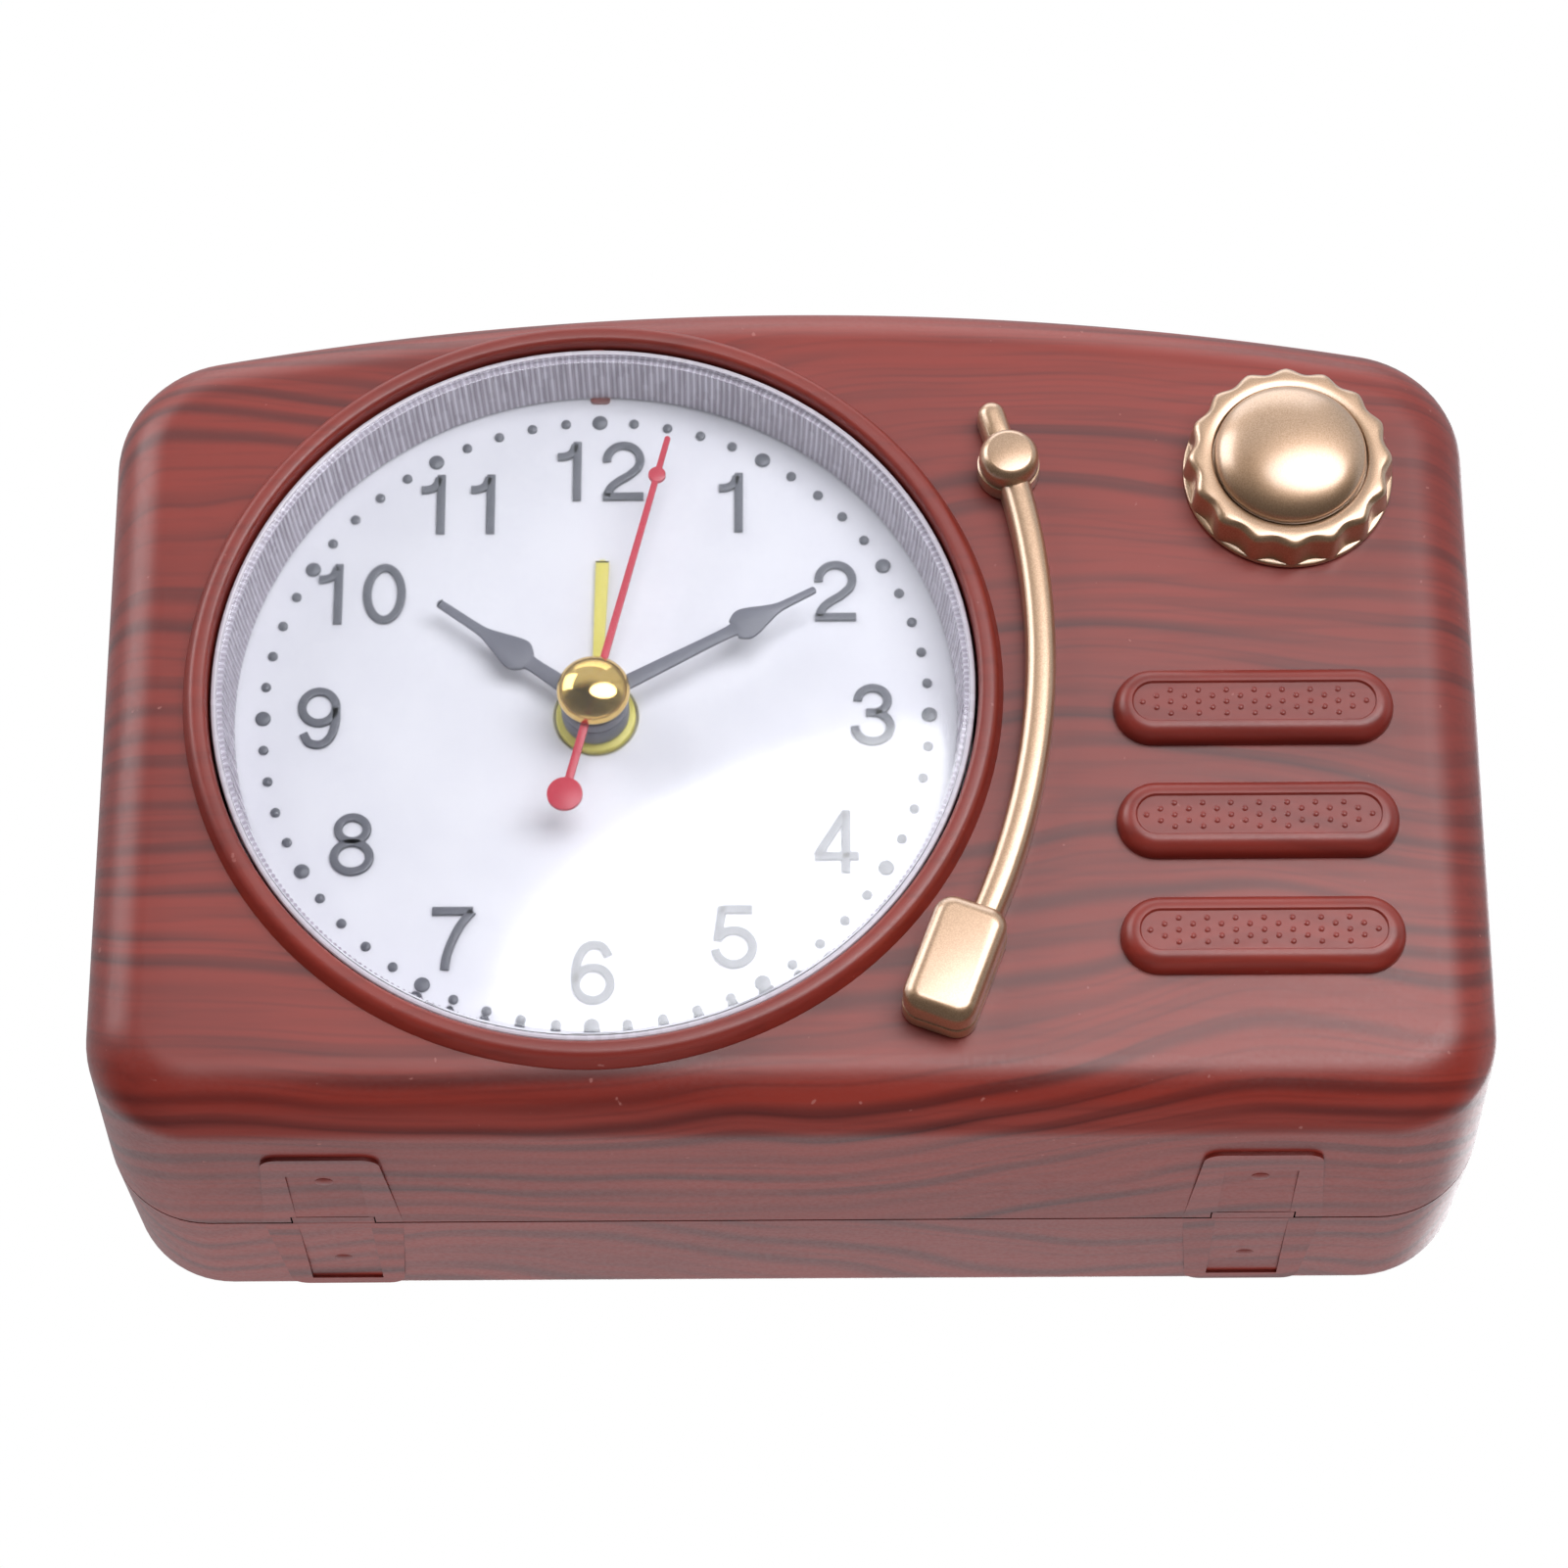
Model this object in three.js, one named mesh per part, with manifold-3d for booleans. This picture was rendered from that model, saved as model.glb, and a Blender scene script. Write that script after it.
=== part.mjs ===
// Battery alarm clock whose case looks like a small wooden record player.
// Millimetres, +Z up. The dial faces -Y, the battery door and the setting knobs face +Y.
// The origin is on the table, under the middle of the case.
import * as THREE from 'three';
import { mergeVertices } from 'three/addons/utils/BufferGeometryUtils.js';
import Module from 'manifold-3d';

const wasm = await Module();
wasm.setup();

// Case
const parting_depth = 27.3;        // front face to the seam between the shells
const seam_gap = 0.3;
const draft_angle = 1.3 * Math.PI / 180;
const wall = 2;
const front_edge_radius = 6;
const rear_edge_radius = 3.2;
const low_corner_radius = 10.5;
const top_corner_radius = 12;
const arch_radius = 318;
const lip_thickness = 1.1;
const lip_height = 2.6;
const lip_root = 1.4;
const clearance = 0.3;             // between neighbours that only touch
const overrun = 1;                 // how far a cut passes the face that it opens
const sink = 0.4;                  // how far a raised form is rooted in its wall
const weld = 1e-4;

// Dial opening, and the margins that set the height of the case
const dial_floor = 5.4;            // table to the bezel
const dial_headroom = 4.4;         // bezel to the crown of the arched top
const dial_side = 8.9;             // bezel to the left side
const dial_depth = 7.45;           // front face to the printed side of the dial
const dial_thickness = 0.6;
const opening_radius = 37.75;
const bezel_width = 2.45;
const bezel_crest = 1.35;          // opening to the middle of the crest
const bezel_height = 1.75;
const bezel_edge = 0.35;
const well_wall = 2;
const dial_hole_radius = 4.2;

// Clear lens cup
const lens_rim_rise = 0.65;        // lens rim above the front face
const lens_crown = 2.1;            // middle of the lens above its rim
const lens_thickness = 1.3;
const lens_wall = 1.2;
const lens_taper = 0.5;

// Hands, with heights above the dial
const hand_thickness = 0.4;
const hour_angle = 306 * Math.PI / 180;
const minute_angle = 61.5 * Math.PI / 180;
const second_angle = 14 * Math.PI / 180;
const alarm_angle = 1.5 * Math.PI / 180;
const hour_hand_length = 19.5;
const minute_hand_length = 24.8;
const second_hand_length = 29.3;
const alarm_hand_length = 17.2;
const hour_hand_width = 3.5;
const minute_hand_width = 3.3;
const second_hand_width = 0.84;
const second_bead_radius = 0.87;
const second_bead_reach = 24.9;
const second_tail_reach = 11.1;
const second_tail_radius = 1.75;
const alarm_hand_width = 1.3;
const alarm_blade_height = 0.2;
const hour_blade_height = 2.5;
const minute_blade_height = 4.1;
const second_blade_height = 5.2;
const alarm_hub_radius = 3.95;
const alarm_hub_drop = 0.4;
const stack_hub_radius = 3.35;
const hour_hub_bottom = 0.9;
const hour_hub_top = 3.2;
const minute_hub_bottom = 3.5;
const minute_hub_top = 4.9;
const second_hub_radius = 2.6;
const cap_radius = 3.6;
const cap_height = 2.3;
const cap_skirt = 0.3;
const cap_bore_share = 0.45;       // how far the arbor reaches into the cap

// Record player arm on the front face
const arm_gap = 0.2;               // glue line under the parts stuck to the face
const arm_width = 3;
const arm_height = 3.3;
const arm_bevel = 0.9;
const arm_radius = 73;
const pivot_off = 7;               // bezel to the middle of the pivot
const pivot_turn = 29.44 * Math.PI / 180;
const pivot_radius = 3;
const pivot_height = 4.8;
const pivot_bevel = 0.85;
const stub_reach = 5.8;            // pivot to the round end of the stub
const stub_share = 0.93;           // section of the stub, as a share of the bar
const shell_off = 6.35;            // bezel to the middle of the cartridge shell
const shell_turn = -41.43 * Math.PI / 180;
const shell_angle = 20.4 * Math.PI / 180;
const shell_aside = 1;             // the bar meets the shell this far off its middle
const shell_width = 7.4;
const shell_length = 12.4;
const shell_height = 5.2;
const shell_corner = 1.5;
const shell_bevel = 1.25;
const shell_seam_height = 2.5;
const shell_seam_width = 0.25;
const arm_pin_radius = 1;
const arm_pin_length = 2.6;
const shell_pin_rise = 2;
const corner_share = 0.5;
const shoulder_share = 0.35;
const crest_share = 0.7;

// Round knob on the front face
const knob_inset = 18.6;           // side of the case to the middle of the knob
const knob_drop = 21.8;            // below the crown of the case
const knob_flutes = 16;
const knob_flange_radius = 10.4;
const knob_flange_height = 0.7;
const knob_foot_radius = 10.25;
const knob_rim_radius = 9.65;
const knob_rim_height = 4.3;
const knob_flute_depth = 0.75;
const knob_rim_bevel = 0.8;
const rim_flute_share = 0.7;
const dome_radius = 7.65;
const dome_seat_radius = 7.95;
const dome_seat_depth = 1.2;
const dome_skirt = 0.5;
const dome_rise = 2.4;
const knob_pin_radius = 2.2;
const knob_pin_length = 3;

// Three long keys moulded on the front face
const key_arm_room = 10.65;        // bezel to the left end of the keys
const key_side = 9.35;             // keys to the right side of the case
const key_low_z = 18.6;
const key_pitch = 12.05;
const key_count = 3;
const key_length = 27.3;
const key_width = 7.75;
const key_height = 2.1;
const key_panel_length = 23.4;
const key_panel_width = 4.25;
const key_panel_depth = 0.25;

// Pads under the case, half on each shell
const foot_inset = 22.8;           // side of the case to the middle of a pad
const foot_front_depth = 9.9;
const foot_rear_gap = 3.4;         // pad to the rear wall
const foot_end_width = 11.3;
const foot_middle_width = 13.8;
const foot_root = 1.2;
const foot_corner = 1.6;
const foot_groove_width = 7.2;
const foot_groove_depth = 0.3;
const foot_groove_start = 14.2;
const foot_notch_width = 9.2;
const foot_notch_depth = 1.5;
const foot_notch_chamfer = 0.8;
const foot_rivet_radius = 0.9;
const foot_rivet_height = 0.22;
const foot_rivet_front = 16.4;
const foot_rivet_gap = 7.2;        // rear rivet to the end of its pad

// Screws and their posts
const case_post_inset = 9.8;
const case_post_rise = 14;
const case_post_drop = 17.2;
const case_post_radius = 4;
const case_pilot_radius = 1.1;
const case_pilot_length = 12;
const case_boss_radius = 4.8;
const case_boss_bore = 3.2;
const case_boss_floor = 3;
const case_screw_radius = 1;
const case_screw_head_radius = 2.7;
const case_screw_head_height = 1.6;
const case_screw_length = 11;
const case_screw_hole_radius = 1.5;
const plate_post_gap = 1.8;        // well to its posts
const plate_post_inset = 3;        // edge of the mounting plate to its screws
const plate_post_radius = 3;
const plate_pilot_radius = 0.9;
const plate_pilot_length = 5;
const plate_screw_radius = 0.8;
const plate_screw_head_radius = 2;
const plate_screw_head_height = 1.2;
const plate_screw_length = 4.4;
const plate_screw_hole_radius = 1.2;

// Movement
const plate_thickness = 1.6;
const plate_corner = 4;
const housing_margin = 2.24;       // largest wheel to the wall of the housing
const housing_wall = 1.6;
const housing_corner = 3;
const housing_depth = 15;
const cover_thickness = 1.6;
const cover_rim = 1.2;
const tube_wall = 0.5;
const arbor_radius = 0.5;
const running_gap = 0.3;
const wheel_thickness = 1;
const level_alarm = 0.35;          // heights of the wheels above the plate
const level_hour = 1.7;
const level_motion = 3.1;
const level_centre = 5;
const level_stator = 6.3;
const level_third = 7.6;
const level_second = 9.4;
const level_step = 11.2;
const time_module = 0.5;           // pitch diameter over tooth count
const train_module = 0.265;
const rotor_module = 0.25;
const cannon_teeth = 10;
const motion_teeth = 30;
const motion_pinion_teeth = 8;
const hour_teeth = 32;
const time_pinion_teeth = 12;
const alarm_teeth = 30;
const alarm_pinion_teeth = 44;
const second_pinion_teeth = 8;
const third_teeth = 64;
const third_pinion_teeth = 8;
const centre_teeth = 60;
const step_pinion_teeth = 8;
const second_teeth = 60;
const rotor_pinion_teeth = 8;
const step_teeth = 32;
const tooth_share = 0.8;           // depth of a tooth, as a share of its module
const pivot_length = 1;
const socket_radius = 2.6;
const socket_reach = 2;            // beyond the movement cover
const magnet_radius = 2.4;
const magnet_height = 3;
const third_turn = -60 * Math.PI / 180;
const step_turn = 205 * Math.PI / 180;
const rotor_turn = 215 * Math.PI / 180;

// Drive coil, its iron and the circuit board
const coil_length = 10.6;
const coil_radius = 3;
const coil_flange_radius = 3.7;
const coil_flange = 0.9;
const core_radius = 1.2;
const core_length = 16.4;
const coil_margin = 1.1;           // to the wall of the housing
const cradle_width = 2;
const stator_radius = 4.1;
const stator_half_span = 8.5;
const stator_limb = 3;
const stator_thickness = 1;
const board_width = 12;
const board_height = 24;
const board_thickness = 1;
const board_margin = 1;            // to the side wall of the housing
const board_floor = 1.8;           // to the lower wall of the housing
const board_level = 4;
const board_post_radius = 1.3;
const board_post_reach = 9;
const chip_radius = 3.4;
const chip_height = 1.1;
const chip_z = -6;
const crystal_radius = 1;
const crystal_length = 6;
const crystal_z = 6;

// Setting knobs and their recess in the rear wall
const recess_width = 60;
const recess_height = 34;
const recess_corner = 6;
const recess_depth = 10;
const recess_rise = 13;            // centre of the recess above the dial centre
const set_knob_z = 13;             // from the dial centre
const set_knob_radius = 6.5;
const set_knob_height = 7;
const set_knob_grooves = 24;
const set_knob_groove_depth = 0.6;
const set_knob_bevel = 0.7;
const stem_radius = 1.3;
const collar_radius = 2.9;
const collar_thickness = 1.2;
const switch_travel = 4;
const switch_width = 4;
const switch_length = 5;
const switch_rise = 2.6;
const switch_neck_width = 1.6;
const switch_neck_length = 2.4;
const switch_plate_width = 6;
const switch_plate_length = 9;
const switch_plate_thickness = 1.2;
const switch_ribs = 3;
const switch_rib_share = 0.5;
const switch_rib_depth = 0.4;

// Battery bay for one size AA cell
const bay_inset = 47.3;            // side of the case to the middle of the bay
const bay_z = 28;
const bay_room = 2.45;             // movement cover to the wall of the bay
const bay_length = 60;
const bay_width = 15.6;
const bay_depth = 16;
const bay_wall = 1.6;
const door_lap_x = 2;              // door beyond the bay
const door_lap_z = 2.45;
const door_thickness = 1.8;
const door_corner = 1.5;
const door_gap = 0.3;
const door_ledge = 1.6;
const door_tab_width = 5;
const door_tab_reach = 1.2;
const door_tab_thickness = 0.8;
const door_tab_x = 19;
const latch_width = 9;
const latch_length = 5.5;
const latch_slit = 0.8;
const finger_notch_width = 12;
const finger_notch_reach = 2.6;
const finger_notch_depth = 1.4;
const door_ribs = 5;
const door_rib_pitch = 2.2;
const door_rib_width = 0.9;
const door_rib_length = 12;
const door_rib_depth = 0.5;
const contact_thickness = 0.4;
const contact_width = 10;
const contact_height = 11;
const contact_nub_radius = 2.6;
const contact_nub_height = 0.8;
const spring_turns = 4;
const spring_base_radius = 4;
const spring_tip_radius = 2.4;
const spring_length = 5.2;
const spring_wire = 0.4;           // radius
const spring_least_gap = 0.4;

// Buzzer behind its holes in the rear wall
const buzzer_inset = 32.3;         // side of the case to the middle of the buzzer
const buzzer_drop = 26.2;
const buzzer_radius = 12;
const buzzer_height = 5.5;
const buzzer_cone_radius = 9.5;
const buzzer_cone_depth = 1.4;
const buzzer_ring_wall = 1.5;
const buzzer_ring_height = 3;
const sound_hole_radius = 1.1;
const sound_hole_pitch = 4.2;
const sound_hole_rings = 2;

// Facets
const wide_segments = 40;
const round_segments = 18;
const small_segments = 10;
const hole_sides = 8;
const wire_sides = 5;
const spring_steps = 8;
const flute_steps = 3;
const bevel_steps = 2;
const corner_steps = 4;
const arch_steps = 8;
const edge_steps = 3;

// Sizes that follow from the ones above

const bezel_foot_radius = opening_radius + bezel_width;
const case_height = dial_floor + bezel_foot_radius * 2 + dial_headroom;
const case_width = dial_side + bezel_foot_radius * 2 + key_arm_room + key_length + key_side;
const side = case_width / 2;
const dial_x = dial_side + bezel_foot_radius - side;
const dial_z = dial_floor + bezel_foot_radius;
const well_back = dial_depth + dial_thickness;
const plate_front = well_back + clearance;
const plate_back = plate_front + plate_thickness;
const cover_front = plate_back + housing_depth + clearance;
const cover_back = cover_front + cover_thickness;
const bay_front = cover_back + bay_room;
const door_seat = bay_front + bay_wall + bay_depth;
const case_depth = door_seat + clearance + door_thickness;
const key_x = side - key_side - key_length / 2;
const knob_x = side - knob_inset;
const knob_z = case_height - knob_drop;
const foot_x = side - foot_inset;
const foot_rear_depth = case_depth - foot_rear_gap;
const bay_x = side - bay_inset;
const door_length = bay_length + door_lap_x * 2;
const door_width = bay_width + door_lap_z * 2;
const buzzer_x = side - buzzer_inset;
const buzzer_z = case_height - buzzer_drop;

const quarter = Math.PI / 2;
const turn = Math.PI * 2;
const hex = Math.PI / 3;
const opposite = Math.PI;

// Solids

function welded(geometry) {
  for (const name of Object.keys(geometry.attributes)) {
    if (name !== 'position') geometry.deleteAttribute(name);
  }
  return mergeVertices(geometry, weld);
}

function volumeOf(points, index) {
  const [a, b, c] = [new THREE.Vector3(), new THREE.Vector3(), new THREE.Vector3()];
  let sum = 0;
  for (let i = 0; i < index.length; i += 3) {
    a.fromArray(points, index[i] * 3);
    b.fromArray(points, index[i + 1] * 3);
    c.fromArray(points, index[i + 2] * 3);
    sum += a.dot(b.cross(c));
  }
  return sum;
}

function solid(geometry) {
  const mesh = welded(geometry);
  const points = Float32Array.from(mesh.attributes.position.array);
  const corners = Array.from({ length: mesh.index.count / 3 }, (_, i) => (
    mesh.index.array.slice(i * 3, (i + 1) * 3)
  ));
  const index = Uint32Array.from(corners.filter(([a, b, c]) => a !== b && b !== c && c !== a)
    .flatMap((corner) => [...corner]));
  if (volumeOf(points, index) < 0) {
    for (let i = 0; i < index.length; i += 3) [index[i], index[i + 1]] = [index[i + 1], index[i]];
  }
  return new wasm.Manifold(new wasm.Mesh({ numProp: 3, vertProperties: points, triVerts: index }));
}

function geometryOf(body) {
  const mesh = body.getMesh();
  const geometry = new THREE.BufferGeometry();
  geometry.setAttribute('position', new THREE.BufferAttribute(mesh.vertProperties, 3));
  geometry.setIndex(new THREE.BufferAttribute(mesh.triVerts, 1));
  geometry.computeVertexNormals();
  return geometry;
}

function moved(body, place, tilt_x = 0, tilt_z = 0) {
  const geometry = geometryOf(body);
  geometry.rotateX(tilt_x);
  geometry.rotateZ(tilt_z);
  geometry.translate(...place);
  return solid(geometry);
}

const join = (first, ...rest) => rest.reduce((body, next) => body.add(next), first);
const cut = (first, ...rest) => rest.reduce((body, next) => body.subtract(next), first);

// Outlines are drawn in x and z. Depth runs from the front face towards the rear.

function slab(shape, front, back, steps = round_segments) {
  const geometry = new THREE.ExtrudeGeometry(shape, {
    depth: back - front, bevelEnabled: false, curveSegments: steps,
  });
  geometry.rotateX(quarter);
  geometry.translate(0, back, 0);
  return solid(geometry);
}

function rod(radius, front, back, x = 0, z = 0, steps = round_segments) {
  const geometry = new THREE.CylinderGeometry(radius, radius, back - front, steps);
  geometry.translate(x, (front + back) / 2, z);
  return solid(geometry);
}

function turned(profile, steps = round_segments) {
  return solid(new THREE.LatheGeometry(profile.map(([r, y]) => new THREE.Vector2(r, y)), steps));
}

function ring(outer, inner, front, back, steps = round_segments) {
  return turned([[inner, front], [outer, front], [outer, back], [inner, back], [inner, front]], steps);
}

function block(x0, x1, front, back, z0, z1) {
  const geometry = new THREE.BoxGeometry(x1 - x0, back - front, z1 - z0);
  geometry.translate((x0 + x1) / 2, (front + back) / 2, (z0 + z1) / 2);
  return solid(geometry);
}

function roundedRectangle(width, height, radius, x = 0, z = 0) {
  const shape = new THREE.Shape();
  const [a, b] = [width / 2 - radius, height / 2 - radius];
  shape.absarc(x + a, z + b, radius, 0, quarter);
  shape.absarc(x - a, z + b, radius, quarter, opposite);
  shape.absarc(x - a, z - b, radius, opposite, opposite + quarter);
  shape.absarc(x + a, z - b, radius, opposite + quarter, turn);
  shape.closePath();
  return shape;
}

function polygon(points) {
  return new THREE.Shape(points.map(([x, z]) => new THREE.Vector2(x, z)));
}

// Skins a row of outlines that have the same number of points, each at its own depth.
function loft(rows) {
  const count = rows[0].points.length;
  const positions = rows.flatMap(({ points, depth }) => points.flatMap(([x, z]) => [x, depth, z]));
  const index = [];
  for (let row = 0; row + 1 < rows.length; row += 1) {
    for (let i = 0; i < count; i += 1) {
      const [a, b] = [row * count + i, row * count + (i + 1) % count];
      index.push(a, b, a + count, b, b + count, a + count);
    }
  }
  const last = (rows.length - 1) * count;
  const contour = rows[0].points.map(([x, z]) => new THREE.Vector2(x, z));
  for (const [a, b, c] of THREE.ShapeUtils.triangulateShape(contour, [])) index.push(a, c, b);
  const closing = rows[rows.length - 1].points.map(([x, z]) => new THREE.Vector2(x, z));
  for (const [a, b, c] of THREE.ShapeUtils.triangulateShape(closing, [])) {
    index.push(last + a, last + b, last + c);
  }
  const geometry = new THREE.BufferGeometry();
  geometry.setAttribute('position', new THREE.Float32BufferAttribute(positions, 3));
  geometry.setIndex(index);
  return solid(geometry);
}

function polar(radius, angle, [x, z] = [0, 0]) {
  return [x + radius * Math.cos(angle), z + radius * Math.sin(angle)];
}

function arcPoints(x, z, radius, from, to, steps) {
  return Array.from({ length: steps + 1 }, (_, i) => {
    const angle = from + (to - from) * i / steps;
    return [x + radius * Math.cos(angle), z + radius * Math.sin(angle)];
  });
}

// Case outline drawn in from the parting line by `inset`: flat base, upright sides, arched top.
function caseOutline(inset) {
  const half = side - inset;
  const arch = arch_radius - inset;
  const arch_z = case_height - arch_radius;
  const [low, top] = [low_corner_radius - inset, top_corner_radius - inset];
  const top_x = half - top;
  const top_z = arch_z + Math.sqrt((arch - top) ** 2 - top_x ** 2);
  const lean = Math.atan2(top_z - arch_z, top_x);
  return [
    ...arcPoints(half - low, inset + low, low, -quarter, 0, corner_steps),
    ...arcPoints(top_x, top_z, top, 0, lean, corner_steps),
    ...arcPoints(0, arch_z, arch, lean, opposite - lean, arch_steps).slice(1, -1),
    ...arcPoints(-top_x, top_z, top, opposite - lean, opposite, corner_steps),
    ...arcPoints(low - half, inset + low, low, opposite, opposite + quarter, corner_steps),
  ];
}

// Stack of case outlines from an end wall, over its rounded edge, to beyond the parting line.
// `skin` is how far the surface lies inside the outer one.
function caseHalf(end_depth, edge_radius, skin, reach) {
  const inward = Math.sign(parting_depth - end_depth);
  const lean = Math.tan(draft_angle);
  const radius = edge_radius - skin;
  const start = end_depth + inward * skin;
  const rows = [];
  for (let i = 0; i <= edge_steps; i += 1) {
    const angle = quarter * i / edge_steps;
    const depth = start + inward * radius * (1 - Math.cos(angle));
    const draw = Math.abs(parting_depth - depth) * lean + skin + radius * (1 - Math.sin(angle));
    rows.push({ points: caseOutline(draw), depth });
  }
  rows.push({ points: caseOutline(skin), depth: reach });
  return loft(rows);
}

// Groups

const clock = new THREE.Group();
const case_group = new THREE.Group();
const dial_group = new THREE.Group();
const knob_height = knob_rim_height + dome_skirt + dome_rise;
clock.add(case_group);
case_group.add(dial_group);
case_group.position.set(0, knob_height - (knob_height + case_depth) / 2, 0);
dial_group.position.set(dial_x, 0, dial_z);

const wood_red = { color: 0x7a2f2a, roughness: 0.42, metalness: 0 };
const champagne = { color: 0xb5905f, roughness: 0.36, metalness: 0.85 };
const dark_grey = { color: 0x55565f, roughness: 0.5, metalness: 0 };
const white = { color: 0xeeeeee, roughness: 0.45, metalness: 0 };
const black = { color: 0x1d1d20, roughness: 0.55, metalness: 0 };
const steel = { color: 0xb4b6ba, roughness: 0.3, metalness: 1 };
const cream = { color: 0xe6e0d2, roughness: 0.5, metalness: 0 };
const copper = { color: 0xa5562c, roughness: 0.35, metalness: 1 };
const board_green = { color: 0x2f5a3a, roughness: 0.5, metalness: 0 };
const clear = { color: 0xf4f6fa, roughness: 0.08, metalness: 0, transparent: true, opacity: 0.25 };
const second_red = { color: 0xc02434, roughness: 0.4, metalness: 0 };
const alarm_yellow = { color: 0xc9c832, roughness: 0.45, metalness: 0 };
const mirror_gold = { color: 0xd9a93f, roughness: 0.08, metalness: 1 };

function add(group, name, body, look, spin = 0) {
  const mesh = new THREE.Mesh(geometryOf(body), new THREE.MeshStandardMaterial(look));
  mesh.name = name;
  mesh.rotation.y = spin;
  group.add(mesh);
}

// Front shell

const corners = [[-1, -1], [1, -1], [-1, 1], [1, 1]];
const case_posts = corners.map(([x, z]) => [
  x * (side - case_post_inset), z < 0 ? case_post_rise : case_height - case_post_drop,
]);
const alarm_knob_reach = time_module * (alarm_teeth + alarm_pinion_teeth) / 2;
const set_knob_x = Math.sqrt(alarm_knob_reach ** 2 - set_knob_z ** 2);
const set_knobs = { time: [-set_knob_x, set_knob_z], alarm: [set_knob_x, set_knob_z] };
const housing_inside = set_knob_x + time_module * alarm_pinion_teeth / 2 + housing_margin;
const housing_size = (housing_inside + housing_wall) * 2;
const plate_post_reach = Math.max(
  (opening_radius + well_wall + plate_post_gap + plate_post_radius) * Math.SQRT1_2,
  housing_size / 2 + plate_screw_head_radius + clearance,
);
const plate_size = (plate_post_reach + plate_post_inset) * 2;
const plate_posts = corners.map(([x, z]) => [x * plate_post_reach, z * plate_post_reach]);
const coil_z = coil_margin + coil_flange_radius - housing_inside;
const board_x = housing_inside - board_margin - board_width / 2;
const board_z = board_floor + board_height / 2 - housing_inside;
const corner_names = ['low_left', 'low_right', 'high_left', 'high_right'];

function bezel() {
  return turned([
    [opening_radius, sink], [bezel_foot_radius, sink], [bezel_foot_radius, 0],
    [opening_radius + bezel_crest + bezel_edge / 2, bezel_edge - bezel_height],
    [opening_radius + bezel_crest - bezel_edge / 2, -bezel_height],
    [opening_radius + bezel_edge, -bezel_height], [opening_radius, bezel_edge - bezel_height],
    [opening_radius, sink],
  ], wide_segments);
}

function stadium(length, width) {
  const [reach, radius] = [(length - width) / 2, width / 2];
  return [
    ...arcPoints(reach, 0, radius, -quarter, quarter, corner_steps),
    ...arcPoints(-reach, 0, radius, quarter, quarter + opposite, corner_steps),
  ];
}

// Rounded sides rise to a narrow rim, with a sunken panel inside it.
const key_side_shares = [[0, 0], [0.16, 0.45], [0.34, 0.78], [0.58, 0.96], [0.76, 1]];

function key(x, z) {
  const rim = key_length - key_panel_length;
  const rows = [{ points: stadium(key_length, key_width), depth: sink }];
  for (const [inset_share, height_share] of key_side_shares) {
    const inset = inset_share * rim;
    const points = stadium(key_length - inset, key_width - inset);
    rows.push({ points, depth: -height_share * key_height });
  }
  const inner = key_panel_depth * 2;
  rows.push({ points: stadium(key_panel_length, key_panel_width), depth: -key_height });
  rows.push({
    points: stadium(key_panel_length - inner, key_panel_width - inner),
    depth: key_panel_depth - key_height,
  });
  return moved(loft(rows), [x, 0, z]);
}

// A pad is drawn in x and depth and stands on the table; each shell carries its half.
function upright(points, low, high) {
  const geometry = new THREE.ExtrudeGeometry(polygon(points), {
    depth: high - low, bevelEnabled: false,
  });
  geometry.translate(0, 0, low);
  return solid(geometry);
}

function footPad(start, end) {
  const [narrow, wide] = [foot_end_width / 2, foot_middle_width / 2];
  const slope = (wide - narrow) / (parting_depth - foot_front_depth);
  const half = (depth) => wide - slope * Math.abs(depth - parting_depth);
  const bend = end - Math.sign(end - start) * foot_corner;
  return upright([
    [-half(start), start], [-half(bend), bend], [foot_corner - half(bend), end],
    [half(bend) - foot_corner, end], [half(bend), bend], [half(start), start],
  ], 0, foot_root);
}

function footGroove(front, back) {
  const half = foot_groove_width / 2;
  return block(-half, half, front, back, -overrun, foot_groove_depth);
}

function footRivet(depth) {
  const top = foot_groove_depth + sink;
  const crest = foot_groove_depth - foot_rivet_height;
  const dome = turned([
    [0, top], [foot_rivet_radius, top], [foot_rivet_radius, foot_groove_depth],
    [foot_rivet_radius / 2, crest], [0, crest],
  ], small_segments);
  return moved(dome, [0, depth, 0], quarter);
}

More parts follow.
